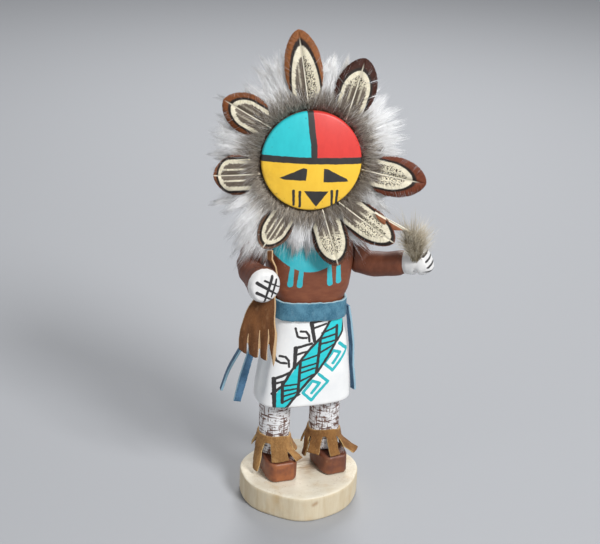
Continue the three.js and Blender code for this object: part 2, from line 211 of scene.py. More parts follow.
class Finish:
    """One material. Lengths inside it are in millimetres on the doll."""

    def __init__(self, name):
        self.material = bpy.data.materials.new(name)
        self.material.use_nodes = True
        self.tree = self.material.node_tree
        self.tree.nodes.clear()
        self.shader = self.tree.nodes.new("ShaderNodeBsdfPrincipled")
        self.output = self.tree.nodes.new("ShaderNodeOutputMaterial")
        self.tree.links.new(self.shader.outputs[0], self.output.inputs[0])

    def node(self, kind, settings=None, inputs=None, output=0):
        made = self.tree.nodes.new(kind)
        for name, value in (settings or {}).items():
            if name == "stops":
                for i, (place, colour) in enumerate(value):
                    stops = made.color_ramp.elements
                    stop = stops[i] if i < 2 else stops.new(place)
                    stop.position = place
                    stop.color = colour
            else:
                setattr(made, name, value)
        entries = inputs.items() if isinstance(inputs, dict) else enumerate(inputs or [])
        for key, value in entries:
            self.feed(made.inputs[key], value)
        return Reading(self, made.outputs[output])

    def feed(self, socket, value):
        if isinstance(value, Reading):
            self.tree.links.new(value.socket, socket)
        else:
            socket.default_value = value

    def place(self):
        """The point on the doll, in millimetres."""
        where = self.node("ShaderNodeTexCoord", output="Object")
        return self.node("ShaderNodeVectorMath", {"operation": "SCALE"}, {0: where, "Scale": 1 / MM})

    def surface(self, name="OFBake"):
        """The piece's own map: across it and along it, each from 0 to 1."""
        where = self.node("ShaderNodeUVMap", {"uv_map": name})
        apart = self.node("ShaderNodeSeparateXYZ", None, [where])
        return apart, Reading(self, apart.socket.node.outputs[1])

    def apart(self, vector):
        x = self.node("ShaderNodeSeparateXYZ", None, [vector])
        outputs = x.socket.node.outputs
        return x, Reading(self, outputs[1]), Reading(self, outputs[2])

    def point(self, x, y, z=0.0):
        return self.node("ShaderNodeCombineXYZ", None, [x, y, z])

    def vector(self, operation, first, second=None, output=0):
        inputs = [first] if second is None else [first, second]
        return self.node("ShaderNodeVectorMath", {"operation": operation}, inputs, output)

    def dot(self, vector, direction):
        return self.vector("DOT_PRODUCT", vector, tuple(direction), "Value")

    def facing(self, direction):
        """How far the surface turns towards a direction: 1 straight at it, -1 away."""
        normal = self.node("ShaderNodeNewGeometry", output="Normal")
        return self.dot(normal, direction)

    def stretched(self, vector, scale):
        return self.vector("MULTIPLY", vector, tuple(scale))

    def noise(self, vector, size, detail=3.0, rough=0.55, stretch=None, shift=None):
        """Cloudy noise from 0 to 1 whose lumps are about size millimetres across."""
        if stretch:
            vector = self.stretched(vector, stretch)
        if shift:
            vector = self.vector("ADD", vector, shift)
        inputs = {"Vector": vector, "Scale": 1 / size, "Detail": detail, "Roughness": rough}
        return self.node("ShaderNodeTexNoise", None, inputs)

    def cells(self, vector, size, feature="F1", output=0):
        inputs = {"Vector": vector, "Scale": 1 / size}
        return self.node("ShaderNodeTexVoronoi", {"feature": feature}, inputs, output)

    def mix(self, share, first, second, blend="MIX"):
        settings = {"data_type": "RGBA", "blend_type": blend}
        return self.node("ShaderNodeMix", settings, {0: share, 6: first, 7: second}, 2)

    def bump(self, height, depth, strength=1.0, under=None):
        """Relief: height from 0 to 1 stands for depth in millimetres."""
        inputs = {"Height": height, "Distance": depth * MM, "Strength": strength}
        if under is not None:
            inputs["Normal"] = under
        return self.node("ShaderNodeBump", None, inputs)

    def done(self, colour, rough, relief=None, **constants):
        self.feed(self.shader.inputs["Base Color"], colour)
        self.feed(self.shader.inputs["Roughness"], rough)
        if relief is not None:
            self.feed(self.shader.inputs["Normal"], relief)
        for name, value in constants.items():
            self.feed(self.shader.inputs[name.replace("_", " ")], value)
        return self.material


# %% [markdown]
# ## Painted strokes
#
# The doll's patterns are brush lines. A brush line is every point closer to a segment than half the brush's
# width, and a filled shape is every point on the inner side of all its edges. A little noise added to the
# point first makes the line waver as a hand does.

# %% Brush lines and filled shapes


def stroke(finish, point, start, end, width, end_width=None, edge=0.12):
    """1 on a straight brush line with round ends, 0 away from it. Point and ends in millimetres."""
    run = Vector((end[0] - start[0], end[1] - start[1], 0))
    offset = finish.vector("SUBTRACT", point, (start[0], start[1], 0))
    share = finish.dot(offset, run / run.length_squared).least(1.0).most(0.0)
    along = finish.node("ShaderNodeVectorMath", {"operation": "SCALE"}, {0: tuple(run), "Scale": share})
    distance = finish.vector("DISTANCE", offset, along, "Value")
    half = width / 2
    if end_width is not None:
        distance = distance + share * (half - end_width / 2)
    return distance.rise(half + edge, half - edge)


def line_through(finish, point, corners, width, edge=0.12):
    """A brush line through several points."""
    return together(stroke(finish, point, a, b, width, edge=edge) for a, b in zip(corners, corners[1:]))


def together(masks):
    """All the masks in one. They are taken one by one, so the shader never has to hold many at once."""
    whole = None
    for mask in masks:
        whole = mask if whole is None else whole.most(mask)
    return whole


def filled(finish, point, corners, edge=0.12):
    """1 inside a convex outline whose corners go round anticlockwise, 0 outside."""
    inside = None
    for a, b in zip(corners, corners[1:] + corners[:1]):
        run = Vector((b[0] - a[0], b[1] - a[1], 0)).normalized()
        inward = Vector((-run.y, run.x, 0))
        depth = finish.dot(point, inward) - (inward.x * a[0] + inward.y * a[1])
        inside = depth if inside is None else inside.least(depth)
    return inside.rise(-edge, edge)


def wavering(finish, x, y, source, amount=0.22, size=2.2):
    """The point (x, y) shifted a little by noise, as an unsteady brush would."""
    shake_x = finish.noise(source, size, 2.0) - 0.5
    shake_y = finish.noise(source, size, 2.0, shift=(31.0, 17.0, 5.0)) - 0.5
    return finish.point(x + shake_x * (2 * amount), y + shake_y * (2 * amount))


# %% [markdown]
# ## Carved pieces
#
# The CAD solids are faceted. A knife leaves soft, slightly uneven faces, so a carved piece is made from a
# merged copy of its node: an even remesh, a few rounds of smoothing, and then small moves of its vertices.

# %% Make a piece and give it to the frame


def settle(name, mesh, material, replaced=(), smooth=True):
    """Puts a mesh in the scene as a finished piece that rides on the doll."""
    piece = bpy.data.objects.new(name, mesh)
    bpy.context.scene.collection.objects.link(piece)
    for one in material if isinstance(material, (list, tuple)) else [material]:
        mesh.materials.append(one)
    if smooth:
        mesh.polygons.foreach_set("use_smooth", [True] * len(mesh.polygons))
    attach(piece, "root")
    if replaced:
        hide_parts(*replaced)
    triangles = sum(len(face.vertices) - 2 for face in mesh.polygons)
    print(f"{name}: {triangles} triangles")
    return piece


def mesh_of(bm, name):
    mesh = bpy.data.meshes.new(name)
    bm.to_mesh(mesh)
    bm.free()
    return mesh


def remeshed(mesh, voxel):
    """The same closed shape with small even faces."""
    holder = bpy.data.objects.new("holder", mesh)
    bpy.context.scene.collection.objects.link(holder)
    even = holder.modifiers.new("even", "REMESH")
    even.mode = "VOXEL"
    even.voxel_size = voxel
    even.use_smooth_shade = True
    shaped = holder.evaluated_get(bpy.context.evaluated_depsgraph_get())
    result = bpy.data.meshes.new_from_object(shaped)
    bpy.data.objects.remove(holder)
    bpy.data.meshes.remove(mesh)
    return result


def carved_copy(node, voxel, rounds):
    """A merged, evenly remeshed and smoothed copy of a CAD node."""
    bm = bmesh.new()
    bm.from_mesh(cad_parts[node].data)
    bmesh.ops.remove_doubles(bm, verts=bm.verts, dist=0.002 * MM)
    mesh = remeshed(mesh_of(bm, node + "_carved"), voxel)
    bm = bmesh.new()
    bm.from_mesh(mesh)
    bpy.data.meshes.remove(mesh)
    all_ways = {"use_axis_x": True, "use_axis_y": True, "use_axis_z": True}
    for _ in range(rounds):
        bmesh.ops.smooth_vert(bm, verts=bm.verts, factor=0.5, **all_ways)
    return mesh_of(bm, node + "_carved")


def places_of(mesh):
    places = np.zeros(len(mesh.vertices) * 3, np.float32)
    mesh.vertices.foreach_get("co", places)
    return places.reshape(-1, 3).astype(float) / MM


def move_to(mesh, places):
    mesh.vertices.foreach_set("co", (places * MM).astype(np.float32).ravel())
    mesh.update()


def steps(values, low, high):
    """For an array of values: 0 below low, 1 above high, and an even curve between them."""
    share = np.clip((values - low) / (high - low), 0, 1)
    return share * share * (3 - 2 * share)


def knife_marks(places, depth, size, seed):
    """A shallow uneven swell, the trace of a knife, as a length for each vertex."""
    draw = np.random.default_rng(seed)
    swell = np.zeros(len(places))
    for _ in range(7):
        direction = draw.normal(size=3)
        direction /= np.linalg.norm(direction) * size * draw.uniform(0.7, 1.6)
        swell += np.sin(places @ direction * 2 * math.pi + draw.uniform(0, 6.28))
    return swell * depth / 3


# %% [markdown]
# ## The sawn base
#
# The base is a slice sawn across a small trunk and sanded, so its top is end grain, full of tiny pores, and
# its side shows grain that runs upwards. It was left bare. It is a remeshed copy of its solid whose rims are
# worn a little.

# %% Bare pale wood


def bare_wood():
    finish = Finish("bare_pale_wood")
    point = finish.place()
    x, y, z = finish.apart(point)
    on_top = finish.facing(UP).rise(0.35, 0.8)
    side_grain = finish.noise(point, 1.1, 4, 0.6, stretch=(1, 1, 0.09))
    wide_grain = finish.noise(point, 6.0, 3, 0.5, stretch=(1, 1, 0.12))
    fibres = finish.noise(point, 0.45, 3, 0.6, stretch=(1, 1, 0.16))
    rings = finish.noise(point, 5.0, 4, 0.6, stretch=(0.5, 1.6, 1))
    pores = finish.cells(finish.stretched(point, (1, 1.5, 1)), 1.1)
    pore_field = finish.noise(point, 9.0, 2, 0.5)
    pore = pores.rise(0.24, 0.12) * pore_field.rise(0.38, 0.62)
    stain = finish.noise(point, 13.0, 3, 0.55, shift=(40.0, 3.0, 9.0)).rise(0.52, 0.78)
    spot = stroke(finish, finish.point(x, z), (-0.9, 8.9), (0.4, 9.6), 1.6, edge=1.0)
    spot = spot * finish.facing((0, -1, 0)).rise(0.3, 0.7)
    pale, warm = paint("#dccfb4"), paint("#c4ae88")
    side = finish.mix(side_grain.rise(0.35, 0.7) * 0.25 + wide_grain.rise(0.4, 0.75) * 0.5, pale, warm)
    top = finish.mix(rings.rise(0.35, 0.75) * 0.6, paint("#e8e0cd"), paint("#d6c9ae"))
    colour = finish.mix(on_top, side, top)
    colour = finish.mix(stain * 0.45, colour, paint("#c9a05c"))
    colour = finish.mix(pore * on_top * 0.65, colour, paint("#8f7048"))
    between_feet = (((x - 3.5) / 6.5).math("POWER", 2) + ((y - 1.0) / 10.0).math("POWER", 2)).rise(1.0, 0.2)
    colour = finish.mix(between_feet * on_top * rings.rise(0.3, 0.6) * 0.55, colour, paint("#8a6038"))
    far_side = (x - 12.0).rise(0.0, 14.0) * pores.rise(0.34, 0.16)
    colour = finish.mix(far_side * on_top * 0.4, colour, paint("#a07c45"))
    colour = finish.mix(spot * 0.6, colour, paint("#9a6a3a"))
    rough = 0.62 + side_grain * 0.2
    relief = finish.bump(fibres * (1 - on_top) + (1 - pore) * on_top * 0.9 + side_grain * 0.3, 0.12, 0.6)
    return finish.done(colour, rough, relief, Specular_IOR_Level=0.35)


base_mesh = carved_copy("base", 0.62 * MM, 3)
base_places = places_of(base_mesh)
base_top = (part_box("base")[1] / MM).z
rim = np.hypot(base_places[:, 0], base_places[:, 1])
unevenness = knife_marks(base_places, 0.1, 9, 3)
outward = base_places[:, :2] / np.maximum(rim, 1)[:, None]
standing_free = steps(base_places[:, 2], 0.3, 1.5) * steps(rim, 20, 27)
base_places[:, :2] -= outward * (np.abs(unevenness) * standing_free)[:, None]
base_places[:, 2] = np.clip(base_places[:, 2], 0, base_top)
move_to(base_mesh, base_places)
settle("sawn_base", base_mesh, bare_wood(), ["base"])

# %% [markdown]
# ## Feet
#
# Each foot is a small block with a chamfered toe, stained red-brown and then handled until its edges shone.
# The stain is thin, so the grain shows through, and it has rubbed off paler on the proud edges. The faces
# that turn to the front are painted a light warm brown: painted light, where the light falls on them.

# %% Stained and rubbed wood


def stained_wood(name, front, dark, front_light):
    finish = Finish(name)
    point = finish.place()
    x, y, z = finish.apart(point)
    grain = finish.noise(point, 0.9, 4, 0.6, stretch=(1, 1, 0.2))
    broad = finish.noise(point, 4.5, 3, 0.5)
    worn = finish.noise(point, 1.6, 4, 0.65, shift=(9.0, 2.0, 4.0))
    edges = finish.node("ShaderNodeNewGeometry", output="Pointiness").rise(0.505, 0.56)
    lit_front = finish.facing((-0.35, -0.93, 0)).rise(0.4, 0.95)
    colour = finish.mix(grain.rise(0.2, 0.6) * 0.45 + 0.4, paint(dark), paint(front))
    # Painted light: the faces turned to the front are painted lighter, where the light falls on them.
    colour = finish.mix(lit_front * broad.rise(0.3, 0.6) * front_light, colour, paint("#b8703f"))
    colour = finish.mix(edges * worn.rise(0.42, 0.6) * 0.35, colour, paint("#b98a68"))
    rough = 0.42 + grain * 0.25 - edges * 0.12
    relief = finish.bump(grain + broad * 0.6, 0.16, 0.5)
    return finish.done(colour, rough, relief, Coat_Weight=0.15, Coat_Roughness=0.3)


for side, dark, front, front_light, seed in (
    ("right", "#5a3322", "#84492e", 0.5, 11),
    ("left", "#4c291d", "#6f3e2c", 0.25, 12),
):
    node = "foot_" + side
    foot_mesh = carved_copy(node, 0.42 * MM, 1)
    foot_places = places_of(foot_mesh)
    low = foot_places[:, 2].min()
    above_sole = steps(foot_places[:, 2], low + 0.4, low + 2)
    foot_places[:, :2] += (knife_marks(foot_places, 0.12, 7, seed) * above_sole)[:, None]
    move_to(foot_mesh, foot_places)
    stain = stained_wood(f"stained_{node}", front, dark, front_light)
    settle(f"carved_foot_{side}", foot_mesh, stain, [node])

# %% [markdown]
# ## The body: skin, kilt and stockings in one carving
#
# Torso, kilt and legs are one piece of wood, and paint tells them apart. The chest is flat red-brown with a
# turquoise yoke, whose four short bars hang on the chest. The kilt is thick white paint with a sash pattern
# of stepped lines. The stockings were dabbed with a nearly dry white brush, so the brown shows in the gaps.

# %% Shape the body
body_mesh = carved_copy("body", 0.72 * MM, 2)
body_places = places_of(body_mesh)
HEM_TOP = 53.7
KILT_MIDDLE = 84
WAIST_LOW = 97.6
HALF_HIP = 17
HOLLOW_DEPTH = 1.5
HEM_FLARE = 1.4
HEM_DROP = 1.2
WAIST_DROP = 1.7
WAIST_SLOPE = 0.045
low_kilt = 1 - steps(body_places[:, 2], KILT_MIDDLE, WAIST_LOW - 1)
in_kilt = steps(body_places[:, 2], HEM_TOP + 0.6, HEM_TOP + 9) * low_kilt
on_right_side = steps(-body_places[:, 0], 13, HALF_HIP)
hollow = np.exp(-((body_places[:, 1] + 3.6) / 3.0) ** 2)
body_places[:, 0] += HOLLOW_DEPTH * hollow * on_right_side * in_kilt


def waist_sag(places):
    """How far the waist and the belt move down, a little more on the left hip than on the right one."""
    return -WAIST_DROP - WAIST_SLOPE * np.clip(places[:, 0], -HALF_HIP, HALF_HIP)


flare = steps(body_places[:, 2], HEM_TOP - 1, HEM_TOP + 0.5) * (1 - steps(body_places[:, 2], 56, KILT_MIDDLE))
body_places[:, 0] -= HEM_FLARE * flare * steps(-body_places[:, 0], 4, HALF_HIP)
near_hem = steps(body_places[:, 2], HEM_TOP - 3.5, HEM_TOP) * (1 - steps(body_places[:, 2], 56, 72))
body_places[:, 2] -= HEM_DROP * near_hem
around_waist = steps(body_places[:, 2], 82, 96) * (1 - steps(body_places[:, 2], 109, 124))
body_places[:, 2] += waist_sag(body_places) * around_waist
body_swell = knife_marks(body_places, 0.13, 13, 5)
body_centre = np.array([0.8, 1.0])
body_out = body_places[:, :2] - body_centre
body_out /= np.maximum(np.linalg.norm(body_out, axis=1), 1)[:, None]
body_places[:, :2] += body_out * body_swell[:, None]
move_to(body_mesh, body_places)
print("kilt hollow in mm:", round(float((HOLLOW_DEPTH * hollow * on_right_side * in_kilt).max()), 2))

# %% [markdown]
# The sash climbs in three steps from the hem's lower corner to the waist, and a hand painted no two of them
# alike. Each step has a flag, an upright bar across the sash and four rungs, and a last bar closes the top.
# A pair of hooks stands above the sash and a square spiral below it, each drawn once and repeated one step
# on.

# %% The sash pattern
SASH_TOP_EDGE = [
    (-17.6, 60.2), (-13.1, 64.5), (-9.0, 72.2), (-4.3, 77.6), (-0.1, 82.7), (4.6, 87.3), (11.4, 99.0),
]
SASH_LOW_EDGE = [
    (-11.0, 53.0), (-5.0, 61.3), (-0.8, 66.4), (3.4, 70.3),
    (8.1, 77.4), (12.2, 84.3), (16.0, 88.6), (17.2, 94.3),
]
SASH_BARS = [
    ((-13.1, 65.6), (-13.0, 55.8)), ((-4.9, 76.0), (-5.8, 61.2)),
    ((4.6, 87.0), (2.9, 70.0)), ((12.8, 92.0), (12.4, 85.0)),
]
SASH_RUNGS = [
    ((-13.0, 64.4), (-5.2, 65.2)), ((-12.8, 61.8), (-5.4, 63.0)),
    ((-12.8, 59.0), (-5.4, 61.2)), ((-12.8, 56.0), (-4.9, 59.6)),
    ((-4.4, 76.7), (3.6, 79.0)), ((-4.6, 73.2), (3.2, 74.9)),
    ((-4.8, 70.6), (3.0, 72.7)), ((-5.2, 66.4), (2.9, 69.8)),
    ((5.4, 89.6), (12.6, 91.8)), ((4.6, 86.8), (12.3, 88.3)),
    ((4.5, 84.2), (12.2, 85.2)), ((4.2, 79.8), (11.6, 83.6)),
]
SASH_GROUND = [
    [
        (-17.0, 53.0), (-11.0, 53.0), (3.4, 69.9), (12.4, 84.6),
        (4.6, 87.3), (-4.3, 77.6), (-13.1, 64.6), (-17.0, 58.7),
    ],
    [(4.6, 87.2), (12.3, 84.5), (16.6, 90.0), (17.2, 99.0), (11.4, 99.0)],
]
FLAGS = [
    [(-16.6, 53.5), (-16.8, 67.7), (-9.5, 71.3), (-16.0, 65.6), (-12.0, 67.0)],
    [(-7.7, 73.5), (-7.2, 83.2), (0.3, 84.9), (-6.8, 79.9), (-1.5, 81.3)],
    [(1.7, 85.9), (0.2, 94.9), (7.6, 96.2), (1.3, 92.3), (7.3, 93.9)],
]
HOOK = [
    [(-7.4, 92.8), (-6.4, 88.9), (-4.5, 88.0), (-2.1, 87.9)],
    [(-4.9, 91.2), (-2.5, 91.0), (-1.1, 89.2), (-0.8, 86.1)],
]
HOOK_STEP = (-9.4, -12.0)
SPIRAL = [(1.0, 59.8), (4.6, 64.5), (1.1, 66.0), (-3.4, 60.3), (0.8, 56.1), (8.7, 64.9), (4.2, 69.1)]
SPIRAL_STEP = (10.0, 14.2)


def stepped(corners, step, count):
    return [(x + step[0] * count, z + step[1] * count) for x, z in corners]


def sash_lines(finish, point):
    """The black brush lines of the sash, one after another."""
    for edge in (SASH_TOP_EDGE, SASH_LOW_EDGE):
        yield line_through(finish, point, edge, 1.3)
    for high, low in SASH_BARS:
        yield stroke(finish, point, high, low, 1.5)
    for start, end in SASH_RUNGS:
        yield stroke(finish, point, start, end, 1.0, 0.9)
    for low, top, far, inner, inner_far in FLAGS:
        yield stroke(finish, point, low, top, 1.7, 2.1)
        yield stroke(finish, point, top, far, 1.35)
        yield stroke(finish, point, inner, inner_far, 1.2, 0.95)
    for count in (0, 1):
        for part in HOOK:
            yield line_through(finish, point, stepped(part, HOOK_STEP, count), 1.15)


# %% The body's paint


def brushed(finish):
    """What the body's three finishes share: the point, its parts, brush marks, clouds and fine grain."""
    point = finish.place()
    brush = finish.noise(point, 2.4, 4, 0.6, stretch=(0.35, 1, 1))
    cloud = finish.noise(point, 11.0, 3, 0.5)
    fine = finish.noise(point, 0.5, 3, 0.6)
    return point, finish.apart(point), brush, cloud, fine


YOKE_LOW = 120.6
YOKE_TOP = 142.5
YOKE_HALF = 17.0
YOKE_BARS = [
    ((-10.0, 124), (-10.6, 114.8)), ((-5.7, 123), (-6.3, 114.4)),
    ((7.4, 123), (8.0, 114.3)), ((11.7, 124), (12.2, 115.0)),
]


def skin_paint():
    finish = Finish("skin_paint")
    point, (x, y, z), brush, cloud, fine = brushed(finish)
    face = finish.facing((0, -1, 0)).rise(0.25, 0.55)
    specks = finish.cells(point, 1.5).rise(0.12, 0.05) * finish.noise(point, 5, 2).rise(0.52, 0.66)
    skin = finish.mix(brush.rise(0.3, 0.75), paint("#77412a"), paint("#8b5236"))
    skin = finish.mix(cloud.rise(0.35, 0.7) * 0.45, skin, paint("#6b3a28"))
    skin = finish.mix(specks * 0.55, skin, paint("#b48a70"))
    yoke_edge = z - (x + 1.0) * (x + 1.0) * 0.031 - (brush - 0.5) * 0.8
    yoke = (yoke_edge - YOKE_LOW).rise(-0.2, 0.2)
    yoke = yoke * (abs(x + 1.0) * -1.0 + YOKE_HALF).rise(-0.3, 0.3)
    yoke = yoke * (YOKE_TOP - z).rise(-0.2, 0.2)
    shaken = wavering(finish, x, z, point, 0.25, 1.8)
    bars = together(stroke(finish, shaken, top, low, 1.9, 2.7) for top, low in YOKE_BARS)
    turquoise = finish.mix(brush.rise(0.3, 0.75) * 0.5, paint("#35b6c3"), paint("#55c4cd"))
    yoke_mask = yoke.most(bars) * face
    skin = finish.mix(yoke_mask, skin, turquoise)
    relief = finish.bump(yoke_mask * 0.6 + brush * 0.55 + fine * 0.18 + cloud * 0.5, 0.16, 0.55)
    return finish.done(skin, brush * 0.12 + 0.4, relief, Specular_IOR_Level=0.45)


def kilt_paint():
    finish = Finish("kilt_paint")
    point, (x, y, z), brush, cloud, fine = brushed(finish)
    face = finish.facing((0, -1, 0)).rise(0.25, 0.55)
    wander = wavering(finish, x, z, point, 0.26, 1.6)
    ink = together(sash_lines(finish, wander)) * face
    both = (stepped(SPIRAL, SPIRAL_STEP, count) for count in (0, 1))
    spirals = together(line_through(finish, wander, corners, 1.5) for corners in both) * face
    fill = together(filled(finish, wander, outline) for outline in SASH_GROUND) * face
    white = finish.mix(cloud.rise(0.3, 0.7) * 0.6, paint("#f6f6f4"), paint("#e6e8ea"))
    white = finish.mix(brush.rise(0.55, 0.85) * 0.35, white, paint("#d9dcdf"))
    bright = finish.mix(brush.rise(0.35, 0.7) * 0.5, paint("#2bd0d6"), paint("#18bcc6"))
    kilt = finish.mix(fill, white, bright)
    kilt = finish.mix(spirals, kilt, finish.mix(brush, paint("#35bfc4"), paint("#22b3bd")))
    dry = finish.noise(point, 0.7, 3, 0.6).rise(0.7, 0.85)
    kilt = finish.mix(ink * (1 - dry * 0.4), kilt, paint("#343232"))
    # Painted shade: the underside of the hem, which faces down over the legs, is painted greyer.
    shaded_hem_underside = finish.facing((0, 0, -1)).rise(0.4, 0.8)
    kilt = finish.mix(shaded_hem_underside * 0.5, kilt, paint("#cfc8c0"))
    relief = finish.bump(ink * 0.5 + fill * 0.25 + brush * 0.55 + fine * 0.18 + cloud * 0.5, 0.16, 0.55)
    return finish.done(kilt, brush * 0.12 + 0.46, relief, Specular_IOR_Level=0.45)


def stocking_paint():
    finish = Finish("stocking_paint")
    point, _, brush, cloud, fine = brushed(finish)
    dabs = finish.noise(point, 1.1, 3, 0.6, stretch=(0.24, 0.24, 1.5))
    drag = finish.noise(point, 1.15, 3, 0.6, stretch=(1.4, 1.4, 0.22), shift=(5.0, 8.0, 1.0))
    patch = finish.noise(point, 5.0, 3, 0.6, shift=(3.0, 0.0, 2.0))
    woven = (dabs + (patch - 0.5) * 0.35).rise(0.42, 0.48) * (drag + (patch - 0.5) * 0.35).rise(0.38, 0.44)
    dabbed = woven * (patch + (dabs - 0.5) * 0.5).rise(0.36, 0.42)
    stocking = finish.mix(dabs.rise(0.3, 0.7), paint("#5f4238"), paint("#7b5b4c"))
    stocking = finish.mix(dabbed, stocking, paint("#e9e9ea"))
    relief = finish.bump(dabbed * 0.9 + brush * 0.55 + fine * 0.18 + cloud * 0.5, 0.16, 0.55)
    return finish.done(stocking, brush * 0.12 + 0.7, relief, Specular_IOR_Level=0.45)


body_heights = np.array([face.center.z / MM for face in body_mesh.polygons])
zones = np.where(body_heights < HEM_TOP - HEM_DROP - 0.3, 0, np.where(body_heights < WAIST_LOW + 4.7, 1, 2))
body_mesh.polygons.foreach_set("material_index", zones.astype(np.int32))
settle("carved_body", body_mesh, [stocking_paint(), kilt_paint(), skin_paint()], ["body"])

# %% [markdown]
# ## Arms and fists
#
# The arms were carved apart, painted brown and glued at the shoulders. Their fists are dipped in white, with
# black lines for the fingers. The right fist faces the front, and the left one holds a feather.

# %% Arms
RIGHT_FIST = Vector((-27.0, -26, 122.5))
LEFT_FIST = Vector((48.5, -16, 123.5))


def arm_paint(name, white_from, finger_lines, across, origin):
    finish = Finish(name)
    point = finish.place()
    brush = finish.noise(point, 2.2, 4, 0.6, stretch=(1, 1, 0.5))
    fine = finish.noise(point, 0.5, 3, 0.6)
    skin = finish.mix(brush.rise(0.3, 0.75), paint("#683824"), paint("#7b462f"))
    plain = finish.mix(brush.rise(0.3, 0.7) * 0.5, paint("#ebeae8"), paint("#cfcfd0"))
    offset = finish.vector("SUBTRACT", point, tuple(origin))
    reach = finish.dot(offset, white_from[0])
    white = (reach - white_from[1] + (brush - 0.5) * 0.8).rise(-0.15, 0.15)
    u = finish.dot(offset, across)
    v = finish.dot(offset, UP)
    lines_point = wavering(finish, u, v, point, 0.2, 1.5)
    ink = together(stroke(finish, lines_point, *line) for line in finger_lines)
    ink = ink * (finish.facing(white_from[0]).rise(0.2, 0.45))
    colour = finish.mix(white, skin, plain)
    colour = finish.mix(ink * white, colour, paint("#2c2a2b"))
    relief = finish.bump(brush * 0.7 + fine * 0.2 + white * 0.6 + ink * 0.3, 0.16, 0.5)
    return finish.done(colour, 0.46 + brush * 0.15, relief, Specular_IOR_Level=0.45)


RIGHT_LINES = [
    ((-0.5, 3.4), (6.9, -0.5), 1.0, 0.5),
    ((-3.9, 2.6), (6.9, -4.7), 1.7, 0.6),
    ((-3.9, -2.1), (3.9, -6.4), 1.6, 0.7),
    ((2.8, 4.9), (-0.5, -6.6), 1.5, 0.9),
    ((4.8, 3.3), (2.6, -4.4), 1.1, 0.8),
]
LEFT_LINES = [((-5, height - 0.25), (5, height + 0.25), 0.9, 0.75) for height in (-2.0, 0.4, 2.9, 5.3)]
right_toward = Vector((0.0, -1.0, 0.02)).normalized()
left_toward = Vector((0.80, -0.55, 0.15)).normalized()
left_end = Vector((0.68, -0.52, 0.50)).normalized()

for side, toward, edge, lines, origin, seed in (
    ("right", right_toward, -1.2, RIGHT_LINES, RIGHT_FIST, 21),
    ("left", left_toward, -6.6, LEFT_LINES, LEFT_FIST, 22),
):
    node = "arm_" + side
    arm_mesh = carved_copy(node, 0.5 * MM, 4)
    arm_places = places_of(arm_mesh)
    offset = arm_places - np.array(origin)
    along = offset @ np.array(toward)
    across = toward.cross(UP).normalized() * -1
    beside = offset @ np.array(across)
    if side == "right":
        # The fist is a flat-faced oval, a little wider than the wrist.
        flat = along.max() - 2.2
        arm_places -= np.outer(np.maximum(along - flat, 0) * 0.85, np.array(toward))
    else:
        # The fist is two rounded lobes with a notch between them, and a flat end.
        end_along = offset @ np.array(left_end)
        flat = end_along.max() - 3.3
        arm_places -= np.outer(np.maximum(end_along - flat, 0) * 0.88, np.array(left_end))
        notch = np.exp(-((along + 1.0) / 1.1) ** 2) * steps(-offset[:, 2], -1, 5)
        arm_places[:, 2] += 1.3 * notch
        wrist = np.exp(-((along + 7.0) / 1.2) ** 2)
        away = arm_places - (np.array(origin) + np.outer(along, np.array(toward)))
        arm_places -= away * (0.10 * wrist)[:, None]
        arm_places[:, 2] += 0.9 * steps(along, -14, -4)
    arm_places += np.outer(knife_marks(arm_places, 0.12, 8, seed), (0.3, 0.3, 0.9))
    move_to(arm_mesh, arm_places)
    material = arm_paint(f"paint_{node}", (toward, edge), lines, across, origin)
    settle(f"carved_{node}", arm_mesh, material, [node])

# %% [markdown]
# ## The sun mask
#
# The mask is a turned disc with a slightly domed face and a rounded rim. Spinning one profile round its axis
# makes it true. The head leans back a little and looks to the doll's right, so the disc is made upright and
# then moved to the head's place.

# %% The head's place and the mask's disc
MASK_CENTRE = Vector((-4.3, -14.8, 174.8))
MASK_RADIUS = 22.0
MASK_THICKNESS = 7.0
MASK_DOME = 3.2
RIM_ROUND = 1.1
BACK_BEVEL = 0.6
HEAD_YAW = math.radians(-9)
HEAD_TILT = math.radians(5)
head_turn = Matrix.Rotation(HEAD_YAW, 3, "Z") @ Matrix.Rotation(-HEAD_TILT, 3, "X")
HEAD_RIGHT, HEAD_BACK, HEAD_UP = (head_turn @ Vector(axis) for axis in ((1, 0, 0), (0, 1, 0), (0, 0, 1)))


def to_doll(places):
    """Points in the head's frame, in millimetres, moved to the doll."""
    return np.asarray(places) @ np.array(head_turn.transposed()) + np.array(MASK_CENTRE)


def turned(bm, corners, edges, parts):
    """Turns a profile once round the Y axis, merges the seam and faces the shape outwards."""
    spun = corners + edges
    bmesh.ops.spin(
        bm, geom=spun, cent=(0, 0, 0), axis=(0, 1, 0), angle=2 * math.pi, steps=parts, use_merge=True
    )
    bmesh.ops.remove_doubles(bm, verts=bm.verts, dist=0.005 * MM)
    bmesh.ops.recalc_face_normals(bm, faces=bm.faces)


def turned_disc():
    bm = bmesh.new()
    profile = [(0.0, -MASK_DOME)]
    for i in range(1, 15):
        reach = (MASK_RADIUS - RIM_ROUND) * i / 14
        profile.append((reach, -MASK_DOME * (1 - (reach / MASK_RADIUS) ** 2)))
    front_rim = profile[-1][1]
    for angle in (30, 60, 90):
        turn = math.radians(angle)
        reach = MASK_RADIUS - RIM_ROUND + RIM_ROUND * math.sin(turn)
        profile.append((reach, front_rim + 1.3 * (1 - math.cos(turn))))
    profile += [(MASK_RADIUS, 3), (MASK_RADIUS, MASK_THICKNESS - BACK_BEVEL)]
    profile += [(MASK_RADIUS - BACK_BEVEL, MASK_THICKNESS), (12, MASK_THICKNESS), (0.0, MASK_THICKNESS)]
    corners = [bm.verts.new((reach * MM, depth * MM, 0)) for reach, depth in profile]
    edges = [bm.edges.new(pair) for pair in zip(corners, corners[1:])]
    turned(bm, corners, edges, 112)
    bmesh.ops.transform(bm, matrix=Matrix.Translation(MASK_CENTRE * MM) @ head_turn.to_4x4(), verts=bm.verts)
    return mesh_of(bm, "sun_disc")


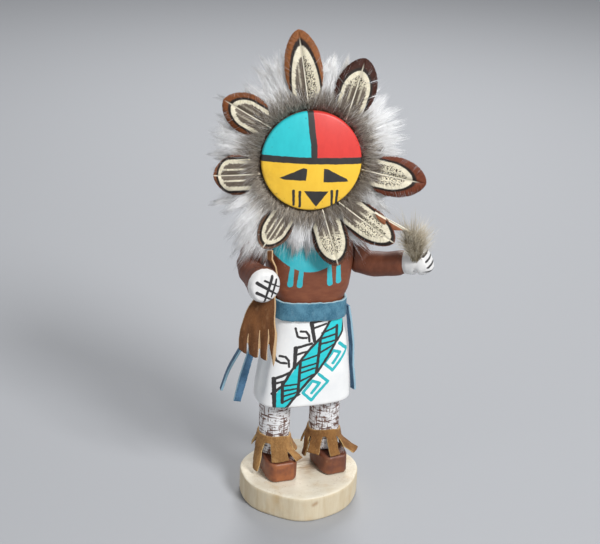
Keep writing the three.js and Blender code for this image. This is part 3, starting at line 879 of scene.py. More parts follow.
# %% [markdown]
# The painted face is a common sun design: a black cross bar and upright, turquoise and red above, yellow
# below, two wedge eyes, a triangle mouth and pairs of cheek marks.

# %% The mask's paint
EYES = [
    [(-14.2, -6.8), (-12.4, -7.5), (-2.7, -8.0), (-2.4, -2.6), (-3.9, -2.1)],
    [(5.0, -8.8), (16.2, -8.9), (15.4, -7.6), (6.6, -2.8), (4.9, -2.5)],
]
MOUTH = [(2.2, -20.3), (7.4, -13.0), (-3.5, -12.7)]
CHEEK_MARKS = [
    ((-7.9, -12.7), (-7.6, -19.3)), ((-5.2, -13.2), (-4.9, -20.1)),
    ((8.9, -13.0), (9.2, -19.8)), ((11.3, -13.0), (11.1, -19.4)),
]


def mask_paint():
    finish = Finish("mask_paint")
    point = finish.place()
    offset = finish.vector("SUBTRACT", point, tuple(MASK_CENTRE))
    u, v = finish.dot(offset, HEAD_RIGHT), finish.dot(offset, HEAD_UP)
    brush = finish.noise(point, 3.2, 4, 0.6, stretch=(1, 1, 0.45))
    cloud = finish.noise(point, 10.0, 2, 0.5)
    fine = finish.noise(point, 0.6, 3, 0.6)
    hand = wavering(finish, u, v, point, 0.24, 2.4)
    rim = finish.vector("LENGTH", finish.point(u, v), output="Value")
    behind = finish.dot(offset, HEAD_BACK)

    yellow = finish.mix(brush.rise(0.3, 0.75) * 0.5, paint("#f7c83c"), paint("#eeb92c"))
    # Painted shade: the yellow is darkened towards the left edge, where the dome turns away from the light.
    painted_shade_left = (u * -1.0).rise(9.0, 22.0) * finish.noise(point, 5.0, 4, 0.6).rise(0.3, 0.7)
    yellow = finish.mix(painted_shade_left * 0.45, yellow, paint("#c4922c"))
    turquoise = finish.mix(brush.rise(0.3, 0.75) * 0.6, paint("#2ec5cc"), paint("#22b6bf"))
    red = finish.mix(brush.rise(0.3, 0.75) * 0.6, paint("#dc3f38"), paint("#cf342f"))
    above = (v - 1.0 - u * -0.03).rise(-0.1, 0.1)
    rightward = (u + 0.2 - v * -0.04).rise(-0.1, 0.1)
    colour = finish.mix(above, yellow, finish.mix(rightward, turquoise, red))

    ink = line_through(finish, hand, [(-24, 1.9), (0.4, 0.9), (24, 0.2)], 2.9)
    ink = ink.most(line_through(finish, hand, [(-1.3, 23.5), (-0.4, 14), (0.5, 7.5), (0.6, 1.9)], 2.75))
    ink = ink.most(together(filled(finish, hand, outline) for outline in EYES + [MOUTH]))
    ink = ink.most(together(stroke(finish, hand, top, low, 1.25, 1.05) for top, low in CHEEK_MARKS))
    charcoal = finish.mix(brush.rise(0.35, 0.75) * 0.5, paint("#2d2b2a"), paint("#3b3937"))
    colour = finish.mix(ink, colour, charcoal)
    chip = finish.cells(point, 2.6).rise(0.2, 0.1) * finish.noise(point, 1.3, 4, 0.7).rise(0.5, 0.6)
    rubbed = finish.noise(point, 1.5, 5, 0.75, shift=(4.0, 0.0, 7.0)).rise(0.56, 0.68)
    worn_rim = rim.rise(19.6, 21.4) * rubbed
    colour = finish.mix((worn_rim + chip * rim.rise(16, 20) * 0.6) * 0.8, colour, paint("#3b352e"))
    bare = behind.rise(1.6, 2.2)
    grain = finish.noise(point, 1.2, 4, 0.6, stretch=(1, 1, 0.1))
    wood = finish.mix(grain.rise(0.35, 0.7), paint("#7d4b33"), paint("#6b3c29"))
    colour = finish.mix(bare, colour, wood)
    rough = 0.36 + brush * 0.16 + ink * 0.1 + bare * 0.2
    relief = finish.bump(brush * 0.6 + cloud * 0.8 + fine * 0.12 + ink * 0.45 * (1 - bare), 0.14, 0.45)
    return finish.done(colour, rough, relief, Specular_IOR_Level=0.5)


settle("painted_sun_mask", turned_disc(), mask_paint(), ["sun_mask"])

# %% [markdown]
# ## Hair, one strand at a time
#
# The ruff is a strip of rabbit fur. Fur is seen by its strands, so real strands are grown: one three-sided
# spike is made with bmesh, and the same spike is laid along thousands of curves. All strands share one map:
# across it runs each strand's own shade, and up it runs the way from root to tip, so one finish colours them.

# %% A strand and how it is repeated


def strand_shape(cuts=(0.4, 0.75), tip=0.0, flat=1.0):
    """One spike along +Z: its points, its faces and a map of them."""
    bm = bmesh.new()
    bmesh.ops.create_cone(bm, cap_ends=True, segments=3, radius1=0.5, radius2=0.5 * tip, depth=1)
    bmesh.ops.translate(bm, verts=bm.verts, vec=(0, 0, 0.5))
    for height in cuts:
        whole = bm.verts[:] + bm.edges[:] + bm.faces[:]
        bmesh.ops.bisect_plane(bm, geom=whole, plane_co=(0, 0, height), plane_no=(0, 0, 1))
    bm.verts.index_update()
    third = 2 * math.pi / 3
    points = np.array([(v.co.x, v.co.y * flat, v.co.z) for v in bm.verts])
    corners, sizes, chart = [], [], []
    first_angle = min(math.atan2(v.co.y, v.co.x) % third for v in bm.verts if v.co.z < 0.01)
    for face in bm.faces:
        columns = []
        for v in face.verts:
            at_tip = math.hypot(v.co.x, v.co.y) < 1e-4
            columns.append(None if at_tip else round((math.atan2(v.co.y, v.co.x) - first_angle) / third) % 3)
        known = [c for c in columns if c is not None]
        if max(known) - min(known) == 2 and abs(face.normal.z) < 0.99:
            columns = [3 if c == 0 else c for c in columns]
            known = [c for c in columns if c is not None]
        middle = sum(known) / len(known)
        flat_end = abs(face.normal.z) > 0.99
        for v, column in zip(face.verts, columns):
            across = (middle if column is None else column) / 3
            lift = 0.02 * (column == 1) if flat_end and column is not None else 0
            corners.append(v.index)
            chart.append((across, min(1, v.co.z + lift)))
        sizes.append(len(face.verts))
    bm.free()
    return points, np.array(corners), np.array(sizes), np.array(chart)


def laid_strands(shape, roots, tips, bends, widths, facing=None):
    """Where every point of every strand lies, in millimetres. A bend shifts a strand more towards its tip."""
    points = shape[0]
    along = tips - roots
    unit = along / np.maximum(np.linalg.norm(along, axis=1), 1e-6)[:, None]
    if facing is None:
        facing = np.tile((0.3, 0.9, 0.31), (len(roots), 1))
    side = np.cross(facing, unit)
    side /= np.maximum(np.linalg.norm(side, axis=1), 1e-6)[:, None]
    face = np.cross(unit, side)
    t = points[:, 2]
    spine = roots[:, None] + along[:, None] * t[None, :, None] + bends[:, None] * (t * t)[None, :, None]
    sideways = side[:, None] * (points[None, :, 0] * widths[:, None])[:, :, None]
    outwards = face[:, None] * (points[None, :, 1] * widths[:, None])[:, :, None]
    return spine + sideways + outwards


def shade_chart(shape, shades, span=0.012):
    """The map of many strands: each strand's shade is its column, and its root-to-tip way is the height."""
    chart = shape[3]
    whole = np.empty((len(shades), len(chart), 2), np.float32)
    whole[:, :, 0] = shades[:, None] * (1 - span) + chart[None, :, 0] * span
    whole[:, :, 1] = chart[None, :, 1]
    return whole


def bundle(name, shape, places, whole_chart):
    """One mesh of many strands, with its map."""
    points, corners, sizes, _ = shape
    count = len(places)
    mesh = bpy.data.meshes.new(name)
    mesh.vertices.add(count * len(points))
    mesh.vertices.foreach_set("co", (places.reshape(-1, 3) * MM).astype(np.float32).ravel())
    steps_between = np.arange(count)[:, None] * len(points)
    mesh.loops.add(count * len(corners))
    mesh.loops.foreach_set("vertex_index", (corners[None, :] + steps_between).astype(np.int32).ravel())
    starts = np.concatenate([[0], np.cumsum(sizes)[:-1]])
    face_starts = starts[None, :] + np.arange(count)[:, None] * len(corners)
    mesh.polygons.add(count * len(sizes))
    mesh.polygons.foreach_set("loop_start", face_starts.astype(np.int32).ravel())
    mesh.update(calc_edges=True)
    layer = mesh.uv_layers.new(name="OFBake")
    layer.data.foreach_set("uv", whole_chart.astype(np.float32).ravel())
    mesh.validate()
    return mesh


HAIR = strand_shape()
SHORT_HAIR = strand_shape((0.5,))
print("faces of one hair:", len(HAIR[2]), "and of a short one:", len(SHORT_HAIR[2]))

# %% [markdown]
# ## The fur ruff
#
# Rabbit fur has two coats. A short grey-brown underfur stands thick near the skin, and long white guard hairs
# lie over it and close up into pointed tufts. The tufts reach further out in some places than in others. The
# list gives how far the fur reaches from the mask's middle, by degrees clockwise from the top.

# %% Fur finish


def fur_finish():
    finish = Finish("rabbit_fur")
    shade, along = finish.surface()
    white = finish.mix(shade.rise(0.35, 0.75), paint("#cfcac2"), paint("#ffffff"))
    root = finish.mix((shade * 7.0).math("FRACT"), paint("#75685e"), paint("#b7aea5"))
    root = finish.mix(shade.rise(0.82, 0.9), root, paint("#d9d4cc"))
    guard = finish.mix(along.rise(0.08, 0.5), root, white)
    fleck = (shade * float(ALL_SHADES)).math("FRACT")
    under = finish.mix(fleck, paint("#6b5c4e"), paint("#cdc4b6"))
    under = finish.mix(along.rise(0.3, 1.0) * 0.5, under, paint("#cfc6bd"))
    colour = finish.mix(shade.rise(0.325, 0.335), under, guard)
    return finish.done(colour, 0.62, Specular_IOR_Level=0.3)


FUR_REACH = [
    (-180, 47), (-160, 46), (-145, 56), (-137, 49), (-125, 46), (-110, 41), (-90, 42), (-73, 45), (-62, 43),
    (-45, 47), (-14, 49), (0, 44), (15, 47), (38, 46), (50, 40), (75, 37.5), (95, 39), (118, 42), (135, 46),
    (146, 54), (160, 46), (180, 47),
]


def ring_direction(clock):
    """Unit vectors in the mask's plane, by degrees clockwise from the top: outwards and clockwise."""
    turn = np.radians(clock)
    zero = np.zeros_like(turn)
    outwards = np.stack([np.sin(turn), zero, np.cos(turn)], axis=-1)
    clockwise = np.stack([np.cos(turn), zero, -np.sin(turn)], axis=-1)
    return outwards, clockwise


BACK = np.array([0.0, 1.0, 0.0])
# How pale the underfur is, by the same degrees.
UNDER_PALE = [
    (-180, 0.35), (-150, 0.6), (-110, 0.55), (-80, 0.4), (-60, 0.6), (-20, 0.75), (-5, 0.35), (20, 0.1),
    (35, 0.2), (50, 0.6), (75, 0.8), (92, 0.55), (112, 0.65), (130, 0.3), (160, 0.35), (180, 0.35),
]
UNDER_SHADES = 6
ALL_SHADES = 23


def underfur(draw, count, shortest, longest, depth_low, depth_high, reach_low, reach_high, forward):
    clock = draw.uniform(-180, 180, count)
    outwards, clockwise = ring_direction(clock)
    start = draw.uniform(reach_low, reach_high, count)
    depth = draw.uniform(depth_low, depth_high, count)
    roots = outwards * start[:, None] + BACK * depth[:, None]
    length = draw.uniform(shortest, longest, count)
    lean = draw.normal(0, 0.42, count)
    toward = outwards + clockwise * lean[:, None] + BACK * draw.normal(forward, 0.25, count)[:, None]
    toward /= np.linalg.norm(toward, axis=1)[:, None]
    tips = roots + toward * length[:, None]
    bends = clockwise * draw.normal(0, 1.0, count)[:, None] + BACK * draw.normal(0, 0.8, count)[:, None]
    widths = draw.uniform(0.13, 0.22, count)
    pale = np.clip(np.interp(clock, *zip(*UNDER_PALE)) + draw.normal(0, 0.22, count), 0.02, 0.96)
    shades = (draw.integers(0, UNDER_SHADES, count) + pale) / ALL_SHADES
    return roots, tips, bends, widths, shades


def tufts(draw, count, hairs, nearest, furthest, depth_low, depth_high, shade_low):
    """Guard hairs that start apart and close up to a point at the tuft's tip."""
    clock = (np.arange(count) + draw.uniform(-0.38, 0.38, count)) * 360 / count - 180
    reach = np.interp(clock, *zip(*FUR_REACH)) * draw.uniform(nearest, furthest, count)
    start = 23.0 + 8.0 * draw.uniform(0.2, 1, count) * nearest
    lean = draw.normal(0, 7, count)
    outwards, clockwise = ring_direction(clock)
    tip_out, _ = ring_direction(clock + lean)
    tuft_root = outwards * start[:, None] + BACK * draw.uniform(4.2, 7.8, count)[:, None]
    tuft_tip = tip_out * reach[:, None] + BACK * draw.uniform(depth_low, depth_high, count)[:, None]
    curl = draw.normal(0, 2.4, count)

    each = np.repeat(np.arange(count), hairs)
    n = len(each)
    spread = draw.normal(0, 1, (n, 3)) * np.array([2.0, 0.9, 2.0])
    roots = tuft_root[each] + spread
    tips = tuft_tip[each] + spread * draw.uniform(0.02, 0.24, n)[:, None]
    tips = roots + (tips - roots) * draw.uniform(0.62, 1.06, n)[:, None]
    bends = clockwise[each] * (curl[each] + draw.normal(0, 0.5, n))[:, None]
    bends = bends + BACK * draw.normal(0, 0.5, n)[:, None]
    shades = np.clip(draw.uniform(shade_low, 0.93, count)[each] + draw.normal(0, 0.07, n), 0.345, 0.995)
    return roots, tips - bends * 0.9, bends, draw.uniform(0.27, 0.44, n), shades


LOCKS = [
    (-36, -41, 24, 47), (-29, -30, 25, 50), (-21, -22, 25, 50), (-15, -14, 25, 47), (6, 7, 25, 45),
    (12, 12, 25, 48), (52, 50, 26, 45), (60, 59, 25, 47), (67, 68, 24, 47), (75, 77, 24, 46),
    (84, 86, 25, 44), (-66, -64, 26, 47), (-74, -73, 26, 48), (-82, -80, 27, 46), (-104, -103, 27, 45),
    (-112, -113, 27, 45), (-121, -122, 26, 48), (-130, -134, 25, 54), (-138, -142, 25, 60),
    (-144, -147, 26, 62), (-151, -152, 26, 56), (152, 146, 25, 54), (146, 140, 25, 48),
    (178, 177, 26, 44), (186, 187, 26, 46), (193, 192, 25, 43), (112, 110, 26, 42),
]


def locks(draw, hairs):
    """The biggest white locks, each from a clock angle and reach at its root to those at its tip."""
    root_clock, tip_clock, root_reach, tip_reach = (np.array(column, float) for column in zip(*LOCKS))
    root_out, _ = ring_direction(root_clock)
    tip_out, clockwise = ring_direction(tip_clock)
    count = len(LOCKS)
    lock_root = root_out * (root_reach - 1)[:, None] + BACK * 3.6
    lock_tip = tip_out * tip_reach[:, None] + BACK * draw.uniform(2.2, 5.0, count)[:, None]
    each = np.repeat(np.arange(count), hairs)
    n = len(each)
    across = draw.normal(0, 1, n)
    thick = draw.normal(0, 0.5, n)
    ends = 4
    end_way = (draw.integers(0, ends, n) - (ends - 1) / 2) * 1.5
    aside = clockwise[each] * (across * 1.5 + end_way * 0.4)[:, None]
    roots = lock_root[each] + aside + BACK * thick[:, None]
    roots = roots + tip_out[each] * draw.uniform(-1, 5, n)[:, None]
    tips = lock_tip[each] + clockwise[each] * (end_way + across * 0.35)[:, None] + BACK * thick[:, None] * 0.4
    tips = roots + (tips - roots) * (draw.uniform(0.68, 1.05, n) - np.abs(end_way) * 0.08)[:, None]
    bends = clockwise[each] * (draw.normal(0, 1.5, count)[each] + draw.normal(0, 0.5, n))[:, None]
    shades = np.clip(draw.uniform(0.8, 0.97, count)[each] + draw.normal(0, 0.04, n), 0.345, 0.995)
    return roots, tips - bends * 0.8, bends, draw.uniform(0.27, 0.42, n), shades


def strays(draw, count):
    clock = draw.uniform(-180, 180, count)
    outwards, clockwise = ring_direction(clock)
    reach = np.interp(clock, *zip(*FUR_REACH)) * draw.uniform(0.95, 1.1, count)
    roots = outwards * draw.uniform(26, 33, count)[:, None] + BACK * draw.uniform(3.5, 8, count)[:, None]
    tips = outwards * reach[:, None] + clockwise * draw.normal(0, 3.0, count)[:, None]
    tips = tips + BACK * draw.uniform(-1, 10, count)[:, None]
    bends = clockwise * draw.normal(0, 2.2, count)[:, None]
    return roots, tips, bends, draw.uniform(0.08, 0.13, count), draw.uniform(0.5, 0.99, count)


def wisps(draw, count):
    """Thin loose hairs that lie over the feet of the feathers."""
    clock = draw.uniform(-180, 180, count)
    outwards, clockwise = ring_direction(clock)
    roots = outwards * draw.uniform(22.6, 28, count)[:, None] + BACK * draw.uniform(1.2, 3.0, count)[:, None]
    heading = outwards + clockwise * draw.normal(0, 0.35, count)[:, None]
    heading = heading + BACK * draw.normal(-0.05, 0.08, count)[:, None]
    tips = roots + heading * draw.uniform(5, 11, count)[:, None]
    bends = clockwise * draw.normal(0, 1.3, count)[:, None]
    return roots, tips, bends, draw.uniform(0.13, 0.24, count), draw.uniform(0.05, 0.99, count)


def hide_front(reach):
    """How far back a hair may lie, in millimetres, so that it stays in front of the hide."""
    return np.interp(reach, [21.0, 32.8, 34.8], [6.8, 6.8, 12.0])


# %% Grow the ruff
draw = np.random.default_rng(7)
fur = fur_finish()
fewer = 1
coats = {
    "fur_undercoat": [
        underfur(draw, 4600 // fewer, 6, 11, 4.4, 8.4, 22.2, 30.0, 0.1),
        underfur(draw, 3600 // fewer, 4, 8, 1.2, 4.2, 22.2, 26.0, -0.25),
    ],
    "fur_tufts_1": [tufts(draw, 68, 125 // fewer, 0.9, 1.08, 5.0, 10.0, 0.5)],
    "fur_tufts_2": [tufts(draw, 68, 120 // fewer, 0.76, 1.02, 2.6, 6.0, 0.45), strays(draw, 500 // fewer)],
    "fur_tufts_3": [tufts(draw, 52, 86 // fewer, 0.6, 0.78, 2.0, 4.5, 0.35), wisps(draw, 900 // fewer)],
    "fur_locks": [locks(draw, 170 // fewer), strays(draw, 500 // fewer)],
}
for name, growths in coats.items():
    hair = SHORT_HAIR if name == "fur_undercoat" else HAIR
    roots, tips, bends, widths, shades = (np.concatenate(columns) for columns in zip(*growths))
    laid = laid_strands(hair, roots, tips, bends, widths)
    laid[..., 1] = np.minimum(laid[..., 1], hide_front(np.hypot(laid[..., 0], laid[..., 2])))
    mesh = bundle(name, hair, to_doll(laid.reshape(-1, 3)).reshape(laid.shape), shade_chart(hair, shades))
    settle(name, mesh, fur, ["fur_ruff"], smooth=False)

# %% [markdown]
# Behind the hair is the skin side of the strip, a plain pale hide, stitched into a ring. It closes the ruff
# from behind.

# %% The hide behind the fur


HIDE_PROFILE = [
    (20.5, 7.4), (24, 7.6), (28, 7.9), (32.6, 8.3), (33, 8.7),
    (32.6, 9.1), (28, 8.8), (24, 8.5), (20.5, 8.3),
]


def hide_ring():
    bm = bmesh.new()
    corners = [bm.verts.new((reach * MM, depth * MM, 0)) for reach, depth in HIDE_PROFILE]
    edges = [bm.edges.new((a, b)) for a, b in zip(corners, corners[1:] + corners[:1])]
    turned(bm, corners, edges, 96)
    mesh = mesh_of(bm, "hide_ring")
    places = places_of(mesh)
    clock = np.arctan2(places[:, 0], places[:, 2])
    share = (np.linalg.norm(places[:, [0, 2]], axis=1) - 20) / 13
    places[:, 1] += share * (0.5 * np.sin(clock * 7) + 0.35 * np.sin(clock * 17 + 1))
    places[:, [0, 2]] *= (1 + 0.03 * share * np.sin(clock * 5 + 2))[:, None]
    move_to(mesh, to_doll(places))
    return mesh


def hide_finish():
    finish = Finish("pale_hide")
    point = finish.place()
    cloud = finish.noise(point, 6.0, 3, 0.6)
    nap = finish.noise(point, 0.6, 4, 0.65)
    colour = finish.mix((cloud * 0.6 + nap * 0.4).rise(0.35, 0.66), paint("#b9a68c"), paint("#d6c8b0"))
    relief = finish.bump(cloud * 0.7 + nap * 0.6, 0.15, 0.6)
    return finish.done(colour, 0.9, relief, Specular_IOR_Level=0.2)


settle("fur_hide", hide_ring(), hide_finish(), ["fur_ruff"])

# %% [markdown]
# ## Barred feathers
#
# Eight small game-bird feathers lie on the fur. A feather is a shaft with rows of barbs that lean towards its
# tip and lock into a flat vane, and here and there the vane splits. So each barb is grown as a flat blunt
# spike with the same helper as the hairs. The map is the feather laid flat, and the colours follow it: a
# brown rim, a thin black band, a cream arch, and a grey middle with flecks and a cream shaft.

# %% Barbs and shaft
BARB = strand_shape((0.35, 0.7), tip=0.5, flat=0.32)
DOWN = strand_shape((0.5,), tip=0.0)
FLAT_ROOM = 1.3


def half_vane(share, width):
    """Half a vane's width at a share of the way from foot to tip. The foot itself is under the mask."""
    share = 0.14 + 0.86 * np.clip(share, 0, 1)
    return 0.5 * width * np.sin(np.pi * share ** 1.25) ** 0.55


def bowed(flat, width, length, bow, cup):
    """Flat points (across, thickness, along) with a real feather's curve: bowed and slightly cupped."""
    share = flat[..., 2] / length
    depth = flat[..., 1] - bow * 4 * share * (1 - share) + cup * (flat[..., 0] / (0.5 * width)) ** 2
    return np.stack([flat[..., 0], depth, flat[..., 2]], axis=-1)


def feather_strands(draw, length, width, bare, sides=(-1, 1), splits=0):
    """All strands of one flat feather: roots, ends, bends and widths."""
    columns = []
    for side in sides:
        count = int(length * (1 - bare) * 4.6)
        root = bare + (1 - bare) * (np.arange(count) + draw.uniform(0, 0.5, count)) / count
        lean = 0.25 * (1 - root) ** 0.7
        for at in draw.uniform(bare + 0.1, 0.8, splits):
            lean = lean + 0.025 * (root > at) * np.exp(-(root - at) / 0.05)
        end = np.minimum(root + lean, 0.998)
        reach = half_vane((end - bare) / (1 - bare), width) * draw.uniform(0.97, 1.02, count)
        roots = np.stack([np.zeros(count), np.zeros(count), root * length], axis=1)
        ends = np.stack([side * reach, draw.normal(0, 0.05, count), end * length], axis=1)
        bends = np.stack([np.zeros(count), np.zeros(count), 0.25 * (ends - roots)[:, 2]], axis=1)
        widths = np.full(count, 0.52) * draw.uniform(0.9, 1.15, count)
        columns.append((roots, ends - bends, bends, widths))
    return [np.concatenate(parts) for parts in zip(*columns)]


def downy_strands(draw, count, length, width, low, high):
    """Loose soft barbs near a feather's foot."""
    root = draw.uniform(low, high, count)
    side = np.where(draw.uniform(0, 1, count) < 0.5, -1, 1)
    reach = width * draw.uniform(0.2, 0.5, count)
    roots = np.stack([np.zeros(count), np.zeros(count), root * length], axis=1)
    ends = roots + np.stack([side * reach, draw.normal(0, 0.7, count), draw.uniform(1.0, 5.0, count)], axis=1)
    bends = [draw.normal(0, 0.7, count), draw.normal(0, 0.5, count), draw.normal(0.6, 0.8, count)]
    bends = np.stack(bends, axis=1)
    return roots, ends, bends, draw.uniform(0.1, 0.16, count)


def shaft_tube(length, base_width, reach):
    """A tapering six-sided tube along the feather's middle."""
    tall = length * reach
    bm = bmesh.new()
    bmesh.ops.create_cone(bm, cap_ends=True, segments=6, radius1=base_width / 2, radius2=0.06, depth=tall)
    bmesh.ops.translate(bm, verts=bm.verts, vec=(0, 0, tall / 2))
    for share in np.linspace(0.08, 0.92, 12):
        whole = bm.verts[:] + bm.edges[:] + bm.faces[:]
        bmesh.ops.bisect_plane(bm, geom=whole, plane_co=(0, 0, tall * share), plane_no=(0, 0, 1))
    return mesh_of(bm, "shaft")


def flat_chart(flat_corners, width, length):
    across = 0.5 + flat_corners[..., 0] / (FLAT_ROOM * width)
    along = flat_corners[..., 2] / length
    return np.clip(np.stack([across, along], axis=-1), 0.001, 0.999)


def joined(name, meshes):
    """Several meshes with maps in one."""
    bm = bmesh.new()
    for mesh in meshes:
        bm.from_mesh(mesh)
        bpy.data.meshes.remove(mesh)
    return mesh_of(bm, name)


def make_feather(
    name, draw, place, length, width, bare, sides=(-1, 1), bow=1.0, cup=0.5, down=60, quill=0.75, splits=0
):
    """One feather. place turns points of the bowed feather into points on the doll, in millimetres."""
    parts = []
    growths = [(BARB, feather_strands(draw, length, width, bare, sides, splits))]
    if down:
        growths.append((DOWN, downy_strands(draw, down, length, width, bare * 0.3, bare + 0.25)))
    for shape, (roots, ends, bends, widths) in growths:
        facing = np.tile((0.0, -1.0, 0.02), (len(roots), 1))
        flat = laid_strands(shape, roots, ends, bends, widths, facing)
        corners = flat[:, shape[1]]
        corners = corners + np.array([0.0, 0.0, 0.03]) * (np.arange(len(shape[1])) % 3 == 0)[None, :, None]
        chart = flat_chart(corners, width, length)
        parts.append(bundle(name + "_barbs", shape, place(bowed(flat, width, length, bow, cup)), chart))
    tube = shaft_tube(length, quill, 0.93)
    flat = places_of(tube) * MM
    flat[:, 1] -= 0.18
    corner_index = np.zeros(len(tube.loops), np.int32)
    tube.loops.foreach_get("vertex_index", corner_index)
    chart = flat_chart(flat[corner_index], width, length)
    tube.uv_layers.new(name="OFBake").data.foreach_set("uv", chart.astype(np.float32).ravel())
    move_to(tube, place(bowed(flat, width, length, bow, cup)))
    parts.append(tube)
    return joined(name, parts)


# %% A feather's colours
MIDDLE_GREY = paint("#786c5f")
BLACK_BAND = 0.15


def feather_finish(
    name, length, width, rim, top, arch, rounding, flecked=0.0, fleck_from=0.0, striped=0.0, one_side=0.0,
    downy=6.0, shaft_half=0.29
):
    """top, arch and rounding are the cream arch's height, half width and height of its round part, in mm.
    Below downy the vane is plain grey. flecked and striped are strengths, and one_side flecks one half."""
    finish = Finish(name)
    across, along = finish.surface()
    a = (across - 0.5) * (FLAT_ROOM * width)
    b = along * length
    barb = b - abs(a) * 0.8
    ridge = finish.noise(finish.point(barb, a * 0.06), 0.42, 2, 0.6)
    wave = finish.noise(finish.point(a, b), 1.7, 3, 0.6, shift=(3.0, 9.0, 0.0))
    ragged = finish.noise(finish.point(barb * 1.6, a * 0.35), 1.0, 3, 0.7, shift=(7.0, 0.0, 0.0))
    over = ((b - (top - rounding)) / rounding).most(0.0)
    arch_way = ((abs(a) / arch) ** 1.8 + over ** 1.8) ** (1 / 1.8)
    edge = arch_way + (ragged - 0.5) * 0.10

    brown = finish.mix(ridge.rise(0.3, 0.7), rim, scaled(rim, 0.66))
    brown = finish.mix(wave.rise(0.4, 0.8) * 0.5, brown, scaled(rim, 1.3))
    cream = finish.mix(ridge.rise(0.35, 0.75) * 0.7, paint("#efe8d2"), paint("#cdc2a6"))
    grey = finish.mix(ridge.rise(0.3, 0.7), MIDDLE_GREY, scaled(MIDDLE_GREY, 0.6))
    colour = finish.mix((edge - (1.0 + BLACK_BAND)).rise(-0.03, 0.05), paint("#2a211d"), brown)
    colour = finish.mix((edge - 1.0).rise(0.02, -0.03), colour, cream)
    inner = (edge + (ragged - 0.5) * 0.34).rise(0.76, 0.71)
    dash = finish.noise(finish.point(a * 1.9, b), 0.85, 1, 0.5, shift=(2.0, 4.0, 0.0)).rise(0.50, 0.55)
    flecks = finish.mix(dash, paint("#e3dbc2"), paint("#3c3029"))
    high = (b + (wave - 0.5) * 6.0 - fleck_from).rise(-1.5, 1.5)
    middle_colour = finish.mix(high * flecked, grey, flecks)
    stripe_way = abs(abs(a) - arch * 0.36 + (ragged - 0.5) * 0.9)
    stripe = stripe_way.rise(0.55, 0.25) * ragged.rise(0.35, 0.5)
    middle_colour = finish.mix(stripe * striped * (b - top * 0.3).rise(0, 3), middle_colour, cream)
    speckled_side = (a + (ragged - 0.5) * 0.8).rise(0.2, 0.6) * one_side
    middle_colour = finish.mix(speckled_side, middle_colour, flecks)
    colour = finish.mix(inner, colour, middle_colour)
    low = (b + (ragged - 0.5) * 5.0).rise(downy, downy * 0.4) * (1 - speckled_side)
    colour = finish.mix(low, colour, grey)
    shaft = abs(a).rise(shaft_half + 0.07, shaft_half - 0.07) * (b - top).rise(4.0, 0.0)
    colour = finish.mix(shaft, colour, paint("#f1ead6"))
    return finish.done(colour, 0.55, Specular_IOR_Level=0.35)


# %% Make the eight feathers
FEATHERS = {
    "feather_1": dict(
        at=-4, points=-9, length=34.2, width=16.3, raised=0.6, top=27.6, arch=6.0, rounding=18, rim="#9c6238",
        striped=0.5, one_side=1.0, downy=7, bow=1.2,
    ),
    # feather_2's rim brown is darkened: a painted shade for the shadow this feather lies in.
    "feather_2": dict(
        at=40, points=16, length=28, width=18, raised=0.6, top=22.5, arch=6.2, rounding=9, rim="#4a261b",
        flecked=0.9, fleck_from=15, striped=0.6, downy=8, bow=1.2, splits=2,
    ),
    "feather_3": dict(
        at=101, points=103, length=30, width=18, raised=0.8, top=23.5, arch=6.0, rounding=11, rim="#7c4029",
        flecked=1.0, fleck_from=9, striped=0.7, downy=8, bow=1.2,
    ),
    "feather_4": dict(
        at=146, points=127, length=32, width=15, raised=1.2, top=29.5, arch=6.0, rounding=13, rim="#8a4d31",
        flecked=1.0, fleck_from=13, striped=0.8, downy=10, bow=1.6,
    ),
    "feather_5": dict(
        at=166, points=163, length=27.5, width=16, raised=0.8, top=24.5, arch=6.2, rounding=10, rim="#6d4531",
        flecked=1.0, fleck_from=12, striped=0.6, downy=8, bow=1.4,
    ),
    "feather_6": dict(
        at=204, points=211, length=22, width=14.5, raised=0.8, top=19.5, arch=5.4, rounding=8, rim="#8a6a55",
        striped=0.9, downy=6, bow=1.0,
    ),
    "feather_7": dict(
        at=255, points=268, length=20.5, width=18, raised=0.8, top=18.5, arch=7.0, rounding=5, rim="#8b5537",
        striped=1.0, downy=5, bow=1.0,
    ),
    "feather_8": dict(
        at=309, points=301, length=24, width=17, raised=0.8, top=20.0, arch=5.8, rounding=8, rim="#8a5029",
        striped=0.35, downy=5, bow=1.0,
    ),
}
FORM_FACTS = ("at", "points", "length", "width", "raised", "rim", "bow", "splits")
FEATHER_FOOT = 22.8
BARE_SHARE = 0.02


def ruff_place(at, points, raised):
    """The move from a flat feather to its place on the ruff."""
    foot_direction, _ = ring_direction(at)
    along, across = ring_direction(points)
    foot = foot_direction * FEATHER_FOOT + BACK * (3.3 - raised)

    def move(flat):
        lifted = foot + flat[..., :1] * across + flat[..., 1:2] * BACK + flat[..., 2:] * along
        return to_doll(lifted.reshape(-1, 3)).reshape(flat.shape)

    return move


for number, (name, facts) in enumerate(FEATHERS.items()):
    draw = np.random.default_rng(40 + number)
    move = ruff_place(facts["at"], facts["points"], facts["raised"])
    length, width = facts["length"], facts["width"]
    form = {"bow": facts["bow"], "splits": facts.get("splits", 0)}
    mesh = make_feather(name + "_barbed", draw, move, length, width, BARE_SHARE, **form)
    pattern = {key: value for key, value in facts.items() if key not in FORM_FACTS}
    finish = feather_finish(name + "_colours", length, width, paint(facts["rim"]), **pattern)
    settle(name + "_barbed", mesh, finish, [name])

# %% [markdown]
# ## The feather in the left fist
#
# The left fist holds a bigger quill. Its brown vane grows on the lower side only, and a tuft of grey-brown
# down stands in the notch of the fist and hides the quill's foot.

# %% Held feather and its down
HELD_FOOT = np.array([46.2, -17.8, 137.0])
HELD_TIP = np.array([23.5, -22.0, 152.3])
HELD_LENGTH = float(np.linalg.norm(HELD_TIP - HELD_FOOT))
HELD_WIDTH = 6.4
held_along = (HELD_TIP - HELD_FOOT) / HELD_LENGTH
held_face = np.cross(held_along, (0.5, 0.25, 0.83))
held_face /= np.linalg.norm(held_face)
if held_face[1] > 0:
    held_face = -held_face
held_across = np.cross(held_face, held_along)


